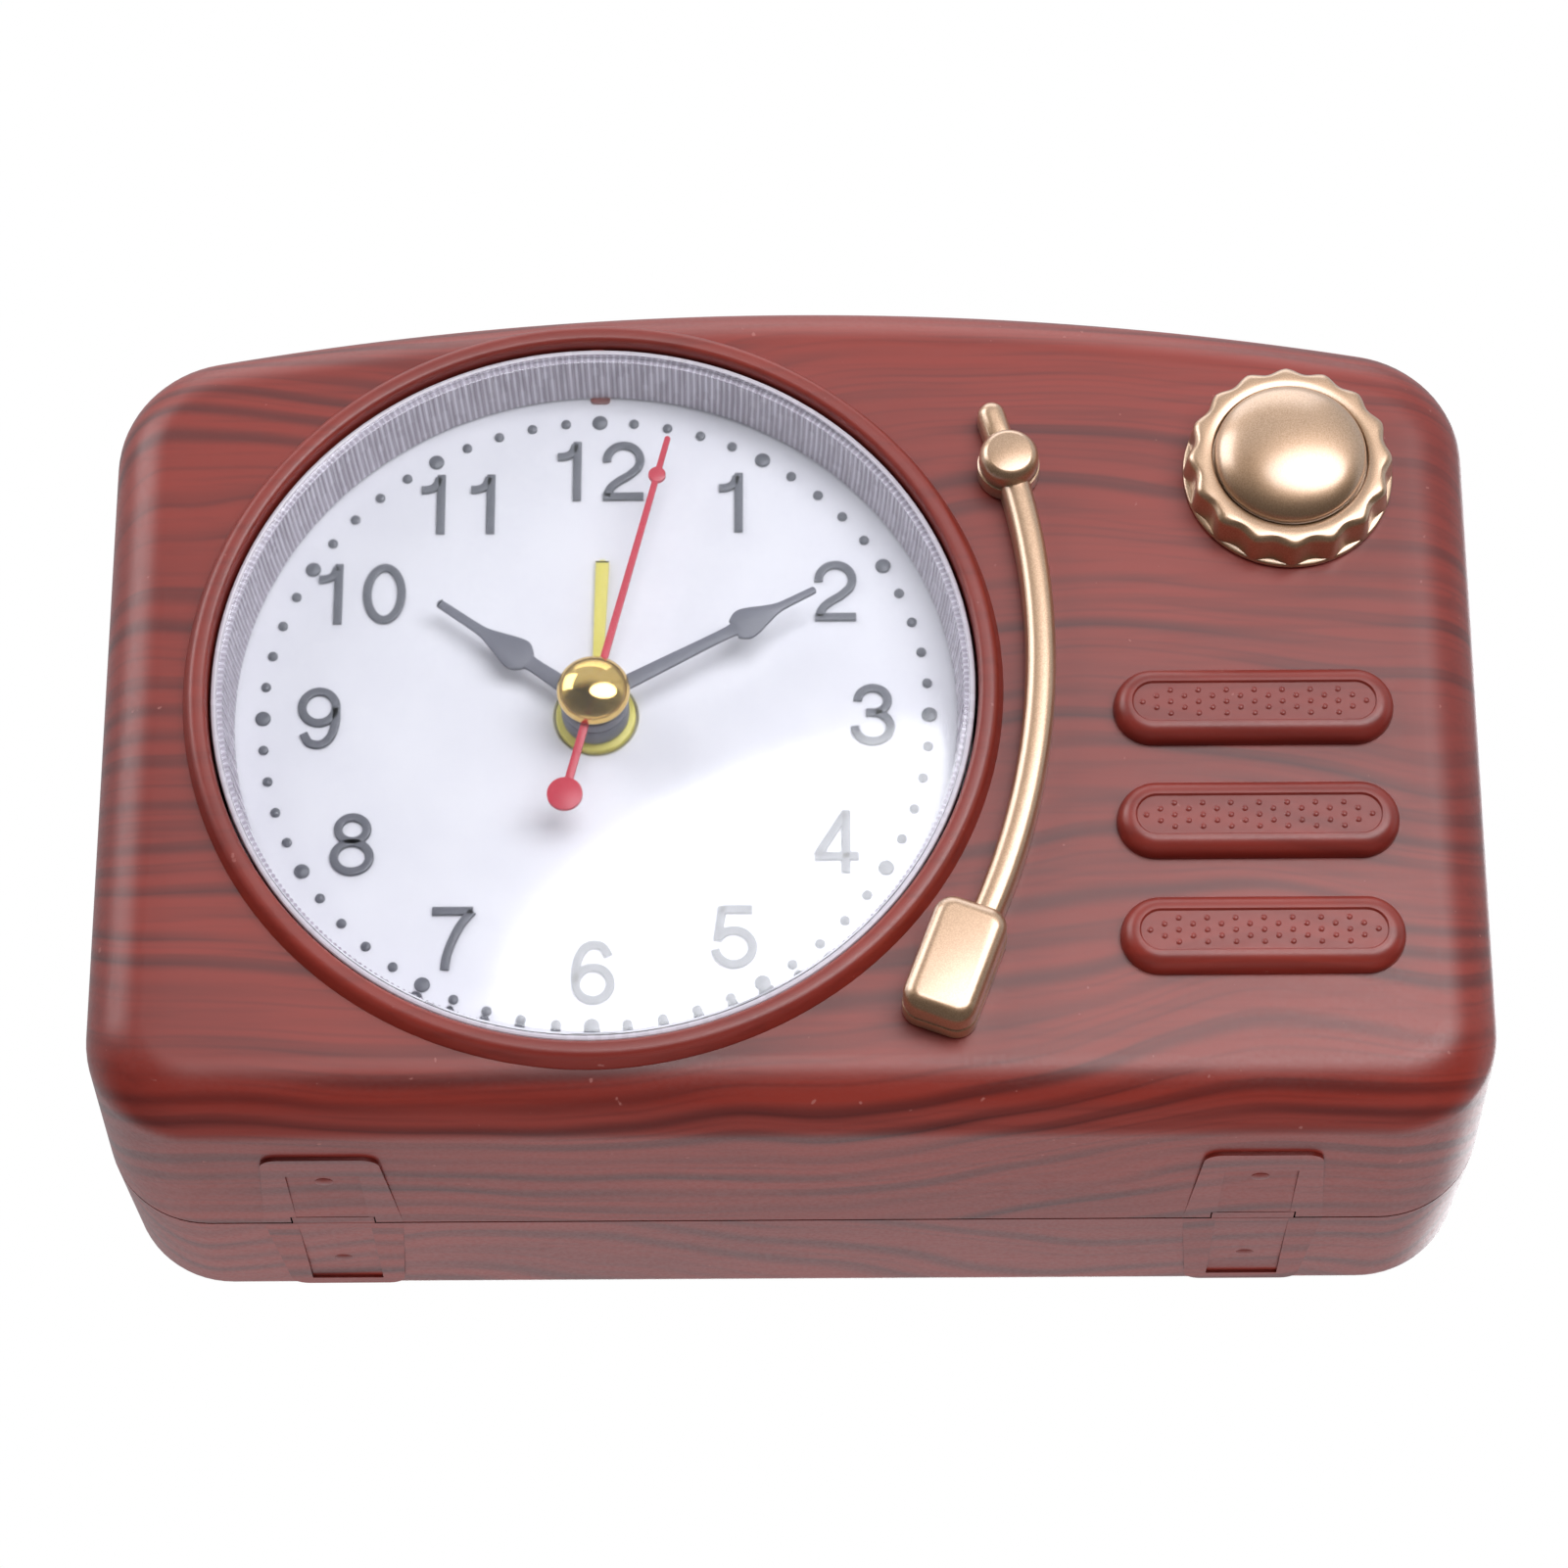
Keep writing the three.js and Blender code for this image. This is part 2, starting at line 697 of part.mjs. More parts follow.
function frontShell() {
  const outer = caseHalf(0, front_edge_radius, 0, parting_depth);
  const inner = caseHalf(0, front_edge_radius, wall, parting_depth + overrun);
  let shell = cut(outer, inner);
  shell = join(
    shell,
    moved(bezel(), [dial_x, 0, dial_z]),
    rod(opening_radius + well_wall, sink, well_back, dial_x, dial_z, wide_segments),
  );
  const post_back = parting_depth - clearance;
  for (const [x, z] of case_posts) {
    shell = join(shell, rod(case_post_radius, wall - sink, post_back, x, z, small_segments));
  }
  for (const [x, z] of plate_posts) {
    shell = join(shell, rod(
      plate_post_radius, wall - sink, well_back, dial_x + x, dial_z + z, small_segments,
    ));
  }
  for (let i = 0; i < key_count; i += 1) {
    shell = join(shell, key(key_x, key_low_z + i * key_pitch));
  }
  shell = cut(shell, rod(
    opening_radius, -bezel_height - overrun, well_back + overrun, dial_x, dial_z, wide_segments,
  ));
  for (const side of [-1, 1]) {
    const at = [side * foot_x, 0, 0];
    const notch = foot_notch_width / 2;
    const notch_front = parting_depth - foot_notch_depth;
    shell = join(shell, moved(footPad(parting_depth, foot_front_depth), at));
    shell = cut(
      shell,
      moved(footGroove(foot_groove_start, parting_depth + overrun), at),
      moved(upright([
        [-notch, parting_depth + overrun], [-notch, parting_depth],
        [foot_notch_chamfer - notch, notch_front], [notch - foot_notch_chamfer, notch_front],
        [notch, parting_depth], [notch, parting_depth + overrun],
      ], -overrun, foot_root), at),
    );
    shell = join(shell, moved(footRivet(foot_rivet_front), at));
  }
  for (const [x, z] of case_posts) {
    shell = cut(shell, rod(
      case_pilot_radius, post_back - case_pilot_length, post_back + overrun, x, z, small_segments,
    ));
  }
  for (const [x, z] of plate_posts) {
    shell = cut(shell, rod(
      plate_pilot_radius, well_back - plate_pilot_length, well_back + overrun,
      dial_x + x, dial_z + z, small_segments,
    ));
  }
  const pins = [
    [knob_x, knob_z, knob_pin_radius], [dial_x + pivot_x, dial_z + pivot_z, arm_pin_radius],
    [dial_x + shell_pin[0], dial_z + shell_pin[1], arm_pin_radius],
  ];
  for (const [x, z, radius] of pins) {
    shell = cut(shell, rod(radius + clearance, -overrun, wall + overrun, x, z, small_segments));
  }
  return shell;
}

// Places of the tone arm are from the dial centre.
const arm_places = [[pivot_off, pivot_turn], [shell_off, shell_turn]];
const [[pivot_x, pivot_z], [shell_x, shell_z]] = arm_places.map(
  ([off, angle]) => polar(bezel_foot_radius + off, angle),
);

// Point of the cartridge shell, given along and across its own axes.
function shellPlace(across, along) {
  const [s, c] = [Math.sin(shell_angle), Math.cos(shell_angle)];
  return [shell_x + across * c + along * s, shell_z + along * c - across * s];
}

const shell_pin = shellPlace(0, shell_pin_rise);

// Rear shell

const rear_inner = case_depth - wall;
const recess_floor = case_depth - recess_depth;
const recess_z = dial_z + recess_rise;
const bay_floor = bay_front + bay_wall;

function caseRing(outside, inside, front, back) {
  const tube = (inset) => loft([front, back].map((depth) => ({ points: caseOutline(inset), depth })));
  const inner = loft([front - overrun, back + overrun].map(
    (depth) => ({ points: caseOutline(inside), depth }),
  ));
  return cut(tube(outside), inner);
}

function centredSlab(width, height, corner, x, z, front, back) {
  return slab(roundedRectangle(width, height, corner, x, z), front, back, edge_steps);
}

function soundHoles() {
  const holes = [];
  for (let a = -sound_hole_rings; a <= sound_hole_rings; a += 1) {
    for (let b = -sound_hole_rings; b <= sound_hole_rings; b += 1) {
      if (Math.abs(a + b) > sound_hole_rings) continue;
      const x = buzzer_x + sound_hole_pitch * (a + b * Math.cos(hex));
      const z = buzzer_z + sound_hole_pitch * b * Math.sin(hex);
      holes.push(rod(sound_hole_radius, rear_inner - overrun, case_depth + overrun, x, z, hole_sides));
    }
  }
  return holes;
}

function backShell() {
  const seam = parting_depth + seam_gap;
  const lip = wall + clearance;
  const outer = caseHalf(case_depth, rear_edge_radius, 0, seam);
  const inner = caseHalf(case_depth, rear_edge_radius, wall, parting_depth - lip_height);
  let shell = join(
    cut(outer, inner),
    caseRing(lip, lip + lip_thickness, parting_depth - lip_height, seam + lip_root),
    caseRing(wall / 2, lip + lip_thickness, seam, seam + lip_root),
  );
  const frame = (door_gap + bay_wall) * 2;
  shell = join(
    shell,
    centredSlab(
      recess_width + wall * 2, recess_height + wall * 2, recess_corner + wall,
      dial_x, recess_z, recess_floor - wall, rear_inner + sink,
    ),
    centredSlab(
      door_length + frame, door_width + frame, door_corner + bay_wall, bay_x, bay_z,
      door_seat - door_ledge, rear_inner + sink,
    ),
    centredSlab(
      bay_length + bay_wall * 2, bay_width + bay_wall * 2, bay_wall, bay_x, bay_z,
      bay_front, door_seat,
    ),
    moved(ring(
      buzzer_radius + clearance + buzzer_ring_wall, buzzer_radius + clearance,
      rear_inner - buzzer_ring_height, rear_inner + sink,
    ), [buzzer_x, 0, buzzer_z]),
  );
  for (const [x, z] of case_posts) {
    shell = join(shell, rod(case_boss_radius, seam, rear_inner + sink, x, z));
  }
  shell = cut(
    shell,
    centredSlab(
      recess_width, recess_height, recess_corner, dial_x, recess_z,
      recess_floor, case_depth + overrun,
    ),
    centredSlab(
      door_length + door_gap * 2, door_width + door_gap * 2, door_corner, bay_x, bay_z,
      door_seat, case_depth + overrun,
    ),
    block(
      bay_x - bay_length / 2, bay_x + bay_length / 2, bay_floor, case_depth,
      bay_z - bay_width / 2, bay_z + bay_width / 2,
    ),
    ...soundHoles(),
  );
  for (const [x, z] of case_posts) {
    shell = cut(
      shell,
      rod(case_boss_bore, seam + case_boss_floor, case_depth + overrun, x, z),
      rod(case_screw_hole_radius, seam - overrun, case_depth, x, z, small_segments),
    );
  }
  for (const [x, z] of Object.values(set_knobs)) {
    shell = cut(shell, rod(
      stem_radius + clearance, recess_floor - wall - overrun, recess_floor + overrun,
      dial_x + x, dial_z + z, small_segments,
    ));
  }
  const slot_half = switch_neck_width / 2 + clearance;
  const slot_reach = (switch_neck_length + switch_travel) / 2 + clearance;
  shell = cut(shell, block(
    dial_x - slot_half, dial_x + slot_half, recess_floor - wall - overrun, recess_floor + overrun,
    dial_z + set_knob_z - slot_reach, dial_z + set_knob_z + slot_reach,
  ));
  const door_top = bay_z + door_width / 2;
  shell = cut(shell, block(
    bay_x - finger_notch_width / 2, bay_x + finger_notch_width / 2,
    case_depth - finger_notch_depth, case_depth + overrun, door_top, door_top + finger_notch_reach,
  ));
  // Slots under the lower edge of the battery opening take the tabs of the door.
  const hinge_z = bay_z - door_width / 2;
  for (const side of [-1, 1]) {
    const half = door_tab_width / 2 + clearance;
    const x = bay_x + side * door_tab_x;
    shell = cut(shell, block(
      x - half, x + half, door_seat - door_tab_thickness, case_depth - door_thickness / 2 + clearance,
      hinge_z - door_tab_reach - clearance, bay_z,
    ));
  }
  for (const side of [-1, 1]) {
    const at = [side * foot_x, 0, 0];
    const end = foot_rear_depth - foot_corner;
    shell = join(shell, moved(footPad(seam, foot_rear_depth), at));
    shell = cut(shell, moved(footGroove(seam - overrun, end), at));
    shell = join(shell, moved(footRivet(foot_rear_depth - foot_rivet_gap), at));
  }
  return shell;
}

add(case_group, 'front_shell', frontShell(), wood_red);
add(case_group, 'back_shell', backShell(), wood_red);

// Dial and lens

const dial = ring(
  opening_radius - clearance, dial_hole_radius, dial_depth, well_back, wide_segments,
);

function lens() {
  const rim = -lens_rim_rise;
  const outside = opening_radius - clearance;
  const inside = outside - lens_wall;
  const foot = dial_depth - clearance;
  const crown = (offset) => Array.from({ length: edge_steps + 1 }, (_, i) => {
    const share = i / edge_steps;
    return [inside * share, rim + offset - lens_crown * (1 - share ** 2)];
  });
  const front = crown(0);
  const back = crown(lens_thickness).reverse();
  return turned([
    ...front, [outside - clearance, rim], [outside, rim + clearance],
    [outside - lens_taper, foot], [inside - lens_taper, foot], ...back,
  ], wide_segments);
}

add(dial_group, 'dial', dial, white);
add(dial_group, 'lens', lens(), clear);

// Hands. Each outline runs up from the arbor; the first share is along the length and the
// second across the greatest width.
const hour_hand_shares = [
  [0, 0.26], [0.4, 0.21], [0.425, 0.3], [0.45, 0.42], [0.49, 0.5], [0.54, 0.46], [0.62, 0.32],
  [0.69, 0.19], [0.73, 0.15], [0.97, 0.13], [1, 0.06],
];
const minute_hand_shares = [
  [0, 0.24], [0.6, 0.18], [0.62, 0.28], [0.64, 0.42], [0.675, 0.5], [0.72, 0.45], [0.775, 0.28],
  [0.82, 0.17], [0.85, 0.14], [0.98, 0.12], [1, 0.06],
];
const alarm_hand_shares = [[0, 0.38], [0.96, 0.5], [0.985, 0.4], [1, 0.2]];
const second_hand_shares = [[-0.02, 0.5], [0, 0.5], [1, 0.34]];

function blade(shares, length, width, height) {
  const left = shares.map(([along, across]) => [-across * width, along * length]).reverse();
  const right = shares.map(([along, across]) => [across * width, along * length]);
  const front = dial_depth - height - hand_thickness;
  return slab(polygon([...right, ...left]), front, front + hand_thickness);
}

function hub(radius, bore, bottom, top) {
  return ring(radius, bore, dial_depth - top, dial_depth - bottom);
}

function bored(body, radius) {
  return cut(body, rod(radius, -case_depth, case_depth));
}

const arbors = {};
arbors.minute = arbor_radius + running_gap + tube_wall;
arbors.hour = arbors.minute + running_gap + tube_wall;
arbors.alarm = arbors.hour + running_gap + tube_wall;
const fit = running_gap / 2;

const second_front = second_blade_height + hand_thickness;

function secondHand() {
  const disc_at = (radius, z) => rod(
    radius, dial_depth - second_front, dial_depth - second_blade_height, 0, z,
  );
  const tail = block(
    -second_hand_width / 2, second_hand_width / 2, dial_depth - second_front,
    dial_depth - second_blade_height, -second_tail_reach, 0,
  );
  return bored(join(
    blade(second_hand_shares, second_hand_length, second_hand_width, second_blade_height),
    tail, disc_at(second_bead_radius, second_bead_reach), disc_at(second_tail_radius, -second_tail_reach),
    disc_at(second_hub_radius, 0),
  ), arbor_radius + fit);
}

function handWithHub(shares, length, width, blade_height, bottom, top, arbor, radius) {
  const body = join(
    blade(shares, length, width, blade_height), hub(radius, arbor + fit, bottom, top),
  );
  return bored(body, arbor + fit);
}

const alarm_hand = handWithHub(
  alarm_hand_shares, alarm_hand_length, alarm_hand_width, alarm_blade_height,
  -alarm_hub_drop, alarm_blade_height + hand_thickness, arbors.alarm, alarm_hub_radius,
);
const hour_hand = handWithHub(
  hour_hand_shares, hour_hand_length, hour_hand_width, hour_blade_height,
  hour_hub_bottom, hour_hub_top, arbors.hour, stack_hub_radius,
);
const minute_hand = handWithHub(
  minute_hand_shares, minute_hand_length, minute_hand_width, minute_blade_height,
  minute_hub_bottom, minute_hub_top, arbors.minute, stack_hub_radius,
);
add(dial_group, 'alarm_hand', alarm_hand, alarm_yellow, alarm_angle);
add(dial_group, 'hour_hand', hour_hand, dark_grey, hour_angle);
add(dial_group, 'minute_hand', minute_hand, dark_grey, minute_angle);
add(dial_group, 'second_hand', secondHand(), second_red, second_angle);

const cap_foot = second_front + clearance;
const arbor_front = cap_foot + cap_height * cap_bore_share;

function handCap() {
  const dome = [];
  for (let i = 0; i <= edge_steps + 1; i += 1) {
    const angle = quarter * i / (edge_steps + 1);
    dome.push([
      cap_radius * Math.cos(angle),
      dial_depth - cap_foot - cap_skirt - (cap_height - cap_skirt) * Math.sin(angle),
    ]);
  }
  const foot = dial_depth - cap_foot;
  const bore = arbor_radius + fit;
  const bore_end = dial_depth - arbor_front - clearance;
  dome[dome.length - 1][0] = 0;
  return turned([
    [0, bore_end], [bore, bore_end], [bore, foot], [cap_radius, foot], ...dome,
  ]);
}

add(dial_group, 'hand_cap', handCap(), mirror_gold);

// Tone arm: a tapered stub, a round pivot and a curved bar, with the cartridge shell at its end

// Arc from one point down to another that bulges to the right.
function arcBetween(from, to, radius) {
  const [dx, dz] = [to[0] - from[0], to[1] - from[1]];
  const chord = Math.hypot(dx, dz);
  const rise = Math.sqrt(radius ** 2 - (chord / 2) ** 2) / chord;
  const centre = [(from[0] + to[0]) / 2 + dz * rise, (from[1] + to[1]) / 2 - dx * rise];
  const [start, end] = [from, to].map(([x, z]) => Math.atan2(z - centre[1], x - centre[0]));
  return { centre, start, end };
}

function bevelled(shape, height, bevel) {
  const geometry = new THREE.ExtrudeGeometry(shape, {
    depth: height - bevel, bevelEnabled: true, bevelThickness: bevel, bevelSize: bevel,
    bevelOffset: -bevel, bevelSegments: bevel_steps, curveSegments: edge_steps,
  });
  geometry.rotateX(quarter);
  return cut(
    solid(geometry),
    block(-case_width, case_width, -arm_gap, case_depth, -case_height, case_height),
  );
}

function toneArm() {
  const shell_end = shellPlace(shell_aside, shell_length / 2 + arm_gap);
  const { centre, start, end } = arcBetween([pivot_x, pivot_z], shell_end, arm_radius);
  const half = arm_width / 2;
  const bar = bevelled(polygon([
    ...arcPoints(...centre, arm_radius + half, end, start, arch_steps),
    ...arcPoints(...centre, arm_radius - half, start, end, arch_steps),
  ]), arm_height, arm_bevel);
  const radius = half * stub_share;
  const side = [Math.cos(start) * radius, Math.sin(start) * radius];
  const stub = new THREE.Shape();
  stub.moveTo(pivot_x + side[0], pivot_z + side[1]);
  stub.absarc(
    pivot_x - stub_reach * Math.sin(start), pivot_z + stub_reach * Math.cos(start), radius,
    start, start + opposite,
  );
  stub.lineTo(pivot_x - side[0], pivot_z - side[1]);
  stub.closePath();
  const pivot = moved(turned([
    [0, -arm_gap], [pivot_radius, -arm_gap], [pivot_radius, pivot_bevel - pivot_height],
    [pivot_radius - pivot_bevel, -pivot_height], [0, -pivot_height],
  ]), [pivot_x, 0, pivot_z]);
  return join(
    bar, bevelled(stub, arm_height * stub_share, arm_bevel * stub_share), pivot,
    rod(arm_pin_radius, -pivot_height / 2, arm_pin_length, pivot_x, pivot_z, small_segments),
  );
}

function cornered(width, length, radius) {
  const [a, b] = [width / 2 - radius, length / 2 - radius];
  return [[a, -b, -1], [a, b, 0], [-a, b, 1], [-a, -b, 2]].flatMap(
    ([x, z, side]) => arcPoints(x, z, radius, side * quarter, (side + 1) * quarter, edge_steps),
  );
}

function headShell() {
  const row = (inset, height) => ({
    points: cornered(
      shell_width - inset * 2, shell_length - inset * 2, shell_corner - inset * corner_share,
    ).map(([x, z]) => shellPlace(x, z)),
    depth: -height,
  });
  const seam = shell_seam_height;
  const body = loft([
    row(0, arm_gap), row(0, seam), row(shell_seam_width, seam + shell_seam_width),
    row(0, seam + shell_seam_width * 2), row(shell_bevel * shoulder_share, shell_height - shell_bevel),
    row(shell_bevel * crest_share, shell_height - shell_bevel * shoulder_share),
    row(shell_bevel, shell_height),
  ]);
  return join(body, rod(
    arm_pin_radius, -shell_height / 2, arm_pin_length, ...shell_pin, small_segments,
  ));
}

add(dial_group, 'tone_arm', toneArm(), champagne);
add(dial_group, 'head_shell', headShell(), champagne);

// Round knob: a flange, a fluted ring that widens towards the case, and a domed top

function fluted(radius, depth_share) {
  const count = knob_flutes * flute_steps;
  return Array.from({ length: count }, (_, i) => {
    const phase = (i % flute_steps) / flute_steps;
    const scoop = Math.sin(phase * opposite);
    const r = radius - knob_flute_depth * depth_share * scoop;
    const angle = turn * i / count;
    return [r * Math.cos(angle), r * Math.sin(angle)];
  });
}

function circle(radius) {
  return fluted(radius, 0);
}

function knobRing() {
  const rim = knob_rim_height;
  const seat = rim - dome_seat_depth;
  return moved(join(
    loft([
      { points: circle(knob_flange_radius), depth: -arm_gap },
      { points: circle(knob_flange_radius), depth: -knob_flange_height },
      { points: fluted(knob_foot_radius, 1), depth: -knob_flange_height },
      { points: fluted(knob_rim_radius, 1), depth: knob_rim_bevel - rim },
      {
        points: fluted(knob_rim_radius - knob_rim_bevel / 2, rim_flute_share),
        depth: knob_rim_bevel / 4 - rim,
      },
      { points: circle(knob_rim_radius - knob_rim_bevel - knob_flute_depth / 2), depth: -rim },
      { points: circle(dome_seat_radius), depth: -rim },
      { points: circle(dome_seat_radius), depth: -seat },
    ]),
    rod(knob_pin_radius, -seat / 2, knob_pin_length, 0, 0, small_segments),
  ), [knob_x, 0, knob_z]);
}

function knobDome() {
  const foot = -(knob_rim_height - dome_seat_depth) - clearance;
  const shoulder = -knob_rim_height - dome_skirt;
  const profile = [[0, foot], [dome_radius, foot], [dome_radius, shoulder]];
  for (let i = 1; i <= edge_steps + 1; i += 1) {
    const angle = quarter * i / (edge_steps + 1);
    profile.push([dome_radius * Math.cos(angle), shoulder - dome_rise * Math.sin(angle)]);
  }
  profile[profile.length - 1][0] = 0;
  return moved(turned(profile, wide_segments), [knob_x, 0, knob_z]);
}

add(case_group, 'knob_ring', knobRing(), champagne);
add(case_group, 'knob_dome', knobDome(), champagne);

// Movement. Wheels lie at their levels behind the mounting plate, and neighbouring tooth tips
// are kept apart by the running gap.

const level = (height) => plate_back + height;
const housing_back = cover_front - clearance;

function toothed(teeth, pitch_module, front, back) {
  const tip = pitch_module * teeth / 2 - running_gap / 2;
  const root = tip - pitch_module * tooth_share;
  const points = [];
  for (let i = 0; i < teeth; i += 1) {
    const angle = turn * i / teeth;
    const half = turn / teeth / 2;
    points.push([tip * Math.cos(angle), tip * Math.sin(angle)]);
    points.push([root * Math.cos(angle + half), root * Math.sin(angle + half)]);
  }
  return slab(polygon(points), front, back);
}

function toothedAt(teeth, pitch_module, height) {
  return toothed(teeth, pitch_module, level(height), level(height) + wheel_thickness);
}

const reach = (pitch_module, a, b) => pitch_module * (a + b) / 2;

// Centre of a wheel that meets one wheel at distance `a` and another one, at `place`, at distance `b`.
function meeting(a, b, [x, z]) {
  const span = Math.hypot(x, z);
  const along = (a ** 2 - b ** 2 + span ** 2) / (2 * span);
  const aside = Math.sqrt(a ** 2 - along ** 2);
  return [(along * x + aside * z) / span, (along * z - aside * x) / span];
}

const motion_reach = reach(time_module, cannon_teeth, motion_teeth);
const motion_at = meeting(
  motion_reach, reach(time_module, motion_teeth, time_pinion_teeth), set_knobs.time,
);
const train_reach = reach(train_module, centre_teeth, third_pinion_teeth);
const third_module = train_reach * 2 / (second_pinion_teeth + third_teeth);
const third_at = polar(train_reach, third_turn);
const step_at = polar(reach(train_module, second_teeth, step_pinion_teeth), step_turn);
const coil_level = level_stator + stator_thickness + clearance + core_radius;
const rotor_at = polar(reach(rotor_module, step_teeth, rotor_pinion_teeth), rotor_turn, step_at);
const [rotor_x, rotor_z] = rotor_at;

function arborRod(back = cover_front + pivot_length) {
  return rod(arbor_radius, plate_back - pivot_length, back, 0, 0, small_segments);
}

function placed(body, [x, z]) {
  return moved(body, [x, 0, z]);
}

const cover_pivot = cover_front + pivot_length;
const second_wheel = join(
  rod(arbor_radius, dial_depth - arbor_front, cover_pivot, 0, 0, small_segments),
  toothedAt(second_pinion_teeth, third_module, level_third),
  toothedAt(second_teeth, train_module, level_second),
);
const tube = (radius, inner, top, back) => ring(
  radius, inner, dial_depth - top, level(back) + wheel_thickness, small_segments * 2,
);
const minute_bore = arbor_radius + running_gap;
const cannon = bored(join(
  tube(arbors.minute, minute_bore, minute_hub_top, level_centre),
  toothedAt(cannon_teeth, time_module, level_motion),
), minute_bore);
const hour_bore = arbors.minute + running_gap;
const hour_wheel = bored(join(
  tube(arbors.hour, hour_bore, hour_hub_top, level_hour),
  toothedAt(hour_teeth, time_module, level_hour),
), hour_bore);
const alarm_bore = arbors.hour + running_gap;
const alarm_wheel = bored(join(
  tube(arbors.alarm, alarm_bore, alarm_blade_height + hand_thickness, level_alarm),
  toothedAt(alarm_teeth, time_module, level_alarm),
), alarm_bore);
const centre_wheel = bored(
  toothedAt(centre_teeth, train_module, level_centre), arbors.minute + running_gap,
);
const third_wheel = join(
  arborRod(), toothedAt(third_pinion_teeth, train_module, level_centre),
  toothedAt(third_teeth, third_module, level_third),
);
const step_wheel = join(
  arborRod(), toothedAt(step_pinion_teeth, train_module, level_second),
  toothedAt(step_teeth, rotor_module, level_step),
);
const magnet_front = level(level_stator) + stator_thickness / 2 - magnet_height / 2;
const rotor = join(
  arborRod(), toothedAt(rotor_pinion_teeth, rotor_module, level_step),
  rod(magnet_radius, magnet_front, magnet_front + magnet_height, 0, 0, small_segments),
);
const motion_wheel = join(
  arborRod(), toothedAt(motion_teeth, time_module, level_motion),
  toothedAt(motion_pinion_teeth, time_module, level_hour),
);

function setGear(teeth, height) {
  const start = level(height);
  const back = cover_back + socket_reach;
  return cut(
    join(
      rod(arbor_radius, plate_back - pivot_length, start + wheel_thickness, 0, 0, small_segments),
      toothed(teeth, time_module, start, start + wheel_thickness),
      rod(socket_radius, start, back, 0, 0, small_segments),
    ),
    rod(stem_radius + clearance, start + wheel_thickness, back + overrun, 0, 0, small_segments),
  );
}

const time_gear = setGear(time_pinion_teeth, level_motion);
const alarm_gear = setGear(alarm_pinion_teeth, level_alarm);

function bearingHoles(front, back) {
  return [third_at, step_at, rotor_at, motion_at].map(
    ([x, z]) => rod(arbor_radius + running_gap, front, back, x, z, hole_sides),
  );
}

function plateAndHousing() {
  let body = centredSlab(plate_size, plate_size, plate_corner, 0, 0, plate_front, plate_back);
  const inside = housing_size - housing_wall * 2;
  body = join(body, cut(
    centredSlab(housing_size, housing_size, housing_corner, 0, 0, plate_back - sink, housing_back),
    centredSlab(
      inside, inside, housing_corner - housing_wall, 0, 0, plate_back - overrun, housing_back + overrun,
    ),
  ));
  const cradle_top = level(coil_level) - coil_flange_radius - clearance;
  for (const side of [-1, 1]) {
    const x = rotor_x + side * (coil_length - coil_flange) / 2;
    const z = board_z + side * board_post_reach;
    body = join(
      body,
      block(
        x - cradle_width / 2, x + cradle_width / 2, plate_back - sink, cradle_top,
        coil_z - cradle_width, coil_z + cradle_width,
      ),
      rod(board_post_radius, plate_back - sink, level(board_level) - clearance, board_x, z, hole_sides),
    );
    const limb_x = rotor_x + side * (stator_half_span - stator_limb / 2);
    body = join(body, rod(
      board_post_radius, plate_back - sink, level(level_stator) - clearance,
      limb_x, rotor_z - stator_radius, hole_sides,
    ));
  }
  body = cut(body, rod(arbors.alarm + running_gap, plate_front - overrun, plate_back + overrun));
  for (const [x, z] of plate_posts) {
    body = cut(body, rod(
      plate_screw_hole_radius, plate_front - overrun, plate_back + overrun, x, z, small_segments,
    ));
  }
  const blind = plate_back - pivot_length - clearance;
  body = cut(body, ...bearingHoles(blind, level(clearance)));
  for (const [x, z] of Object.values(set_knobs)) {
    body = cut(body, rod(arbor_radius + running_gap, blind, level(clearance), x, z, hole_sides));
  }
  return body;
}

function movementCover() {
  let body = centredSlab(
    housing_size, housing_size, housing_corner, 0, 0, cover_front, cover_back,
  );
  const inside = housing_size - housing_wall * 2 - clearance * 2;
  body = join(body, cut(
    centredSlab(inside, inside, cover_rim, 0, 0, cover_front - cover_rim, cover_front + sink),
    centredSlab(
      inside - cover_rim * 2, inside - cover_rim * 2, cover_rim / 2, 0, 0,
      cover_front - cover_rim - overrun, cover_front,
    ),
  ));
  body = cut(body, ...bearingHoles(cover_front - overrun, cover_back + overrun));
  body = cut(body, rod(
    arbor_radius + running_gap, cover_front - overrun, cover_back + overrun, 0, 0, hole_sides,
  ));
  for (const [x, z] of Object.values(set_knobs)) {
    body = cut(body, rod(
      socket_radius + clearance, cover_front - overrun, cover_back + overrun, x, z, small_segments,
    ));
  }
  return body;
}

// The coil lies across the limbs of the stator, whose round eye surrounds the magnet.
function stator() {
  const span = stator_half_span;
  const limb_top = rotor_z - stator_limb / 2;
  const bar_low = rotor_z - stator_radius;
  const limb_low = coil_z - core_radius;
  const [front, back] = [level(level_stator), level(level_stator) + stator_thickness];
  const box = (x0, x1, z0, z1) => block(rotor_x + x0, rotor_x + x1, front, back, z0, z1);
  return cut(
    join(
      rod(stator_radius, front, back, rotor_x, rotor_z),
      box(-span, span, bar_low, limb_top),
      box(-span, stator_limb - span, limb_low, bar_low + sink),
      box(span - stator_limb, span, limb_low, bar_low + sink),
    ),
    rod(magnet_radius + running_gap, front - overrun, back + overrun, rotor_x, rotor_z),
  );
}

